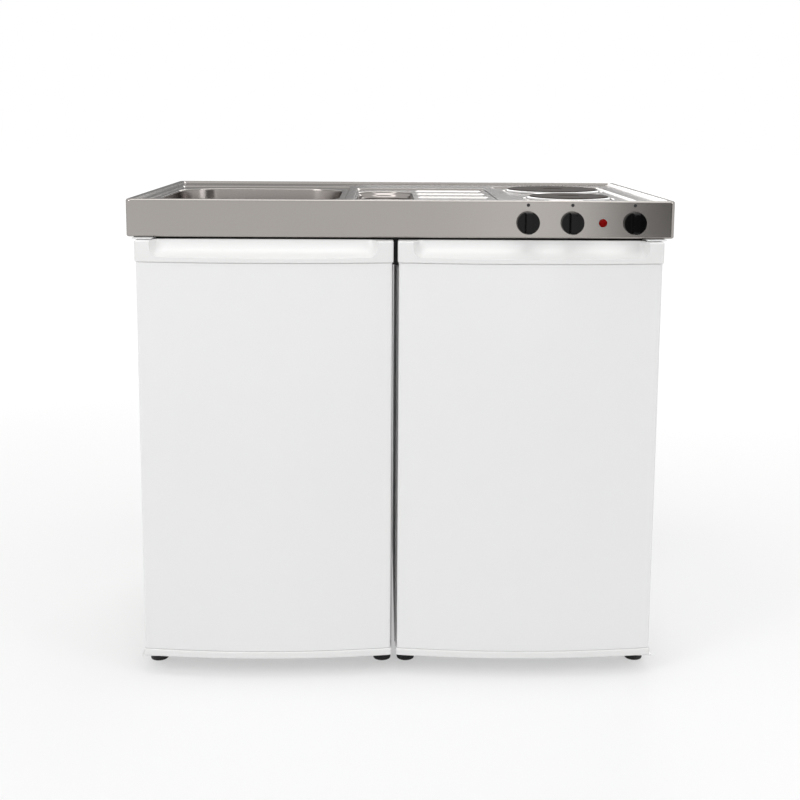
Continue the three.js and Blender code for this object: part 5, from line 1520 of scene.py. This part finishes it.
@dataclass
class Studio:
    """The camera, lamps, reflection cards, floor and world."""

    place: Point = (-0.037, -2.4625, 1.052)
    yaw: float = -0.93
    pitch: float = 8.17
    roll: float = 0.35
    focal_pixels: float = 1203.0
    image_pixels: float = 800.0
    sensor: float = 36.0
    shift: float = -0.14
    floor_size: float = 60.0
    floor_level: float = -0.0004
    floor_fade: float = 4.0
    floor_light: float = 1.06
    world_light: float = 0.62

    def camera(self) -> None:
        """Sets the camera to the photograph's view."""
        data = bpy.data.cameras.new("photo_camera")
        data.sensor_width = self.sensor
        data.lens = self.focal_pixels / self.image_pixels * self.sensor
        data.shift_y = self.shift
        data.clip_end = 60
        camera = bpy.data.objects.new("photo_camera", data)
        turn = Matrix.Rotation(math.radians(self.yaw), 4, "Z")
        turn @= Matrix.Rotation(math.radians(90 - self.pitch), 4, "X")
        turn @= Matrix.Rotation(math.radians(self.roll), 4, "Z")
        camera.matrix_world = Matrix.Translation(self.place) @ turn
        bpy.context.scene.collection.objects.link(camera)
        bpy.context.scene.camera = camera

    def lamp(
        self, name: str, place: Point, target: Point, size: tuple[float, float], power: float
    ) -> None:
        """Adds one soft rectangular lamp aimed at a point."""
        data = bpy.data.lights.new(name, "AREA")
        data.shape = "RECTANGLE"
        data.size, data.size_y = size
        data.energy = power
        lamp = bpy.data.objects.new(name, data)
        aim = (Vector(target) - Vector(place)).to_track_quat("-Z", "Y")
        lamp.matrix_world = Matrix.Translation(place) @ aim.to_matrix().to_4x4()
        bpy.context.scene.collection.objects.link(lamp)

    def floor(self) -> None:
        """Lays a white floor that keeps the object's shadow near it."""
        deselect()
        bpy.ops.mesh.primitive_plane_add(size=self.floor_size, location=(0, 0, self.floor_level))
        floor = bpy.context.object
        floor.name = "studio_floor"
        made = Shader("studio_floor")
        made.surface(Base_Color=(0.86, 0.86, 0.86), Roughness=0.9)
        path = made.node("ShaderNodeLightPath", {}, {})
        seen = Value(made, path.outputs["Is Camera Ray"])
        mirrored = Value(made, path.outputs["Is Glossy Ray"])
        through = Value(made, path.outputs["Is Transmission Ray"])
        place = made.place()
        x, y = made.axis(place, "X"), made.axis(place, "Y")
        distance = (x * x + y * y) ** 0.5
        far = made.ramp(distance / self.floor_fade, [(0.2, 0.42), (0.75, 1.0)])
        factor = (seen + mirrored + through).clamped(0, 1) * far
        mix = made.node("ShaderNodeMixShader", {}, {"Fac": factor})
        made.tree.links.new(made.principled.outputs[0], mix.inputs[1])
        made.tree.links.new(made.glow(1.0, self.floor_light).outputs[0], mix.inputs[2])
        made.show(mix)
        floor.data.materials.append(made.material)
        deselect()

    def card(self, name: str, place: Point, size: tuple[float, float], grey: float) -> None:
        """Stands up a grey card that is seen in reflections only."""
        deselect()
        bpy.ops.mesh.primitive_plane_add(size=1, location=place, rotation=(math.pi / 2, 0, 0))
        card = bpy.context.object
        bpy.ops.transform.resize(value=(size[0], 1, size[1]), center_override=place)
        card.name = name
        made = Shader(name)
        made.show(made.glow(grey))
        card.data.materials.append(made.material)
        card.visible_camera = card.visible_diffuse = card.visible_shadow = False
        card.visible_transmission = False
        deselect()

    def world(self) -> None:
        """Gives a soft world light, white where it is seen or mirrored."""
        world = bpy.data.worlds.new("studio")
        bpy.context.scene.world = world
        world.use_nodes = True
        nodes, links = world.node_tree.nodes, world.node_tree.links
        nodes.clear()
        path = nodes.new("ShaderNodeLightPath")
        output = nodes.new("ShaderNodeOutputWorld")
        soft, white = nodes.new("ShaderNodeBackground"), nodes.new("ShaderNodeBackground")
        for background, strength in ((soft, self.world_light), (white, 1.0)):
            background.inputs["Color"].default_value = (1, 1, 1, 1)
            background.inputs["Strength"].default_value = strength
        mix = nodes.new("ShaderNodeMixShader")
        seen, both = nodes.new("ShaderNodeMath"), nodes.new("ShaderNodeMath")
        seen.operation = both.operation = "MAXIMUM"
        links.new(path.outputs["Is Camera Ray"], seen.inputs[0])
        links.new(path.outputs["Is Glossy Ray"], seen.inputs[1])
        links.new(seen.outputs[0], both.inputs[0])
        links.new(path.outputs["Is Transmission Ray"], both.inputs[1])
        links.new(both.outputs[0], mix.inputs["Fac"])
        links.new(soft.outputs[0], mix.inputs[1])
        links.new(white.outputs[0], mix.inputs[2])
        links.new(mix.outputs[0], output.inputs["Surface"])

    def build(self) -> None:
        """Sets up everything that isn't the object."""
        self.camera()
        self.floor()
        self.world()
        self.card("card_back", (0, 4.0, 1.05), (12.0, 1.5), 0.30)
        self.card("card_right", (3.9, -5.0, 1.0), (5.2, 4.0), 0.14)
        self.card("card_bright", (0.9, -5.0, 1.0), (0.7, 4.0), 1.3)
        self.lamp("key", (-2.2, -2.2, 2.2), (0, 0, 0.55), (1.2, 1.6), 26)
        self.lamp("fill", (2.3, -1.8, 1.9), (0, 0, 0.6), (1.0, 1.6), 13)
        self.lamp("top", (0.0, -0.6, 2.8), (0, 0, 0.8), (2.2, 1.2), 16)
        self.lamp("back", (0.6, 2.6, 2.0), (0, 0, 0.5), (1.6, 1.4), 22)
        bpy.context.scene.view_settings.view_transform = "Standard"


def main() -> None:
    """Builds the studio and the kitchenette."""
    logging.basicConfig(level=logging.INFO, format="%(message)s")
    deselect()
    Studio().build()
    worktop = Worktop()
    worktop.build()
    Sink(worktop).build()
    Hob(worktop).build()
    Door("left_door", -0.469).build()
    Door("right_door", 0.465).build()
    Feet().build()
    Cooling().build()
    soften_nodes()


if __name__ == "__main__":
    main()
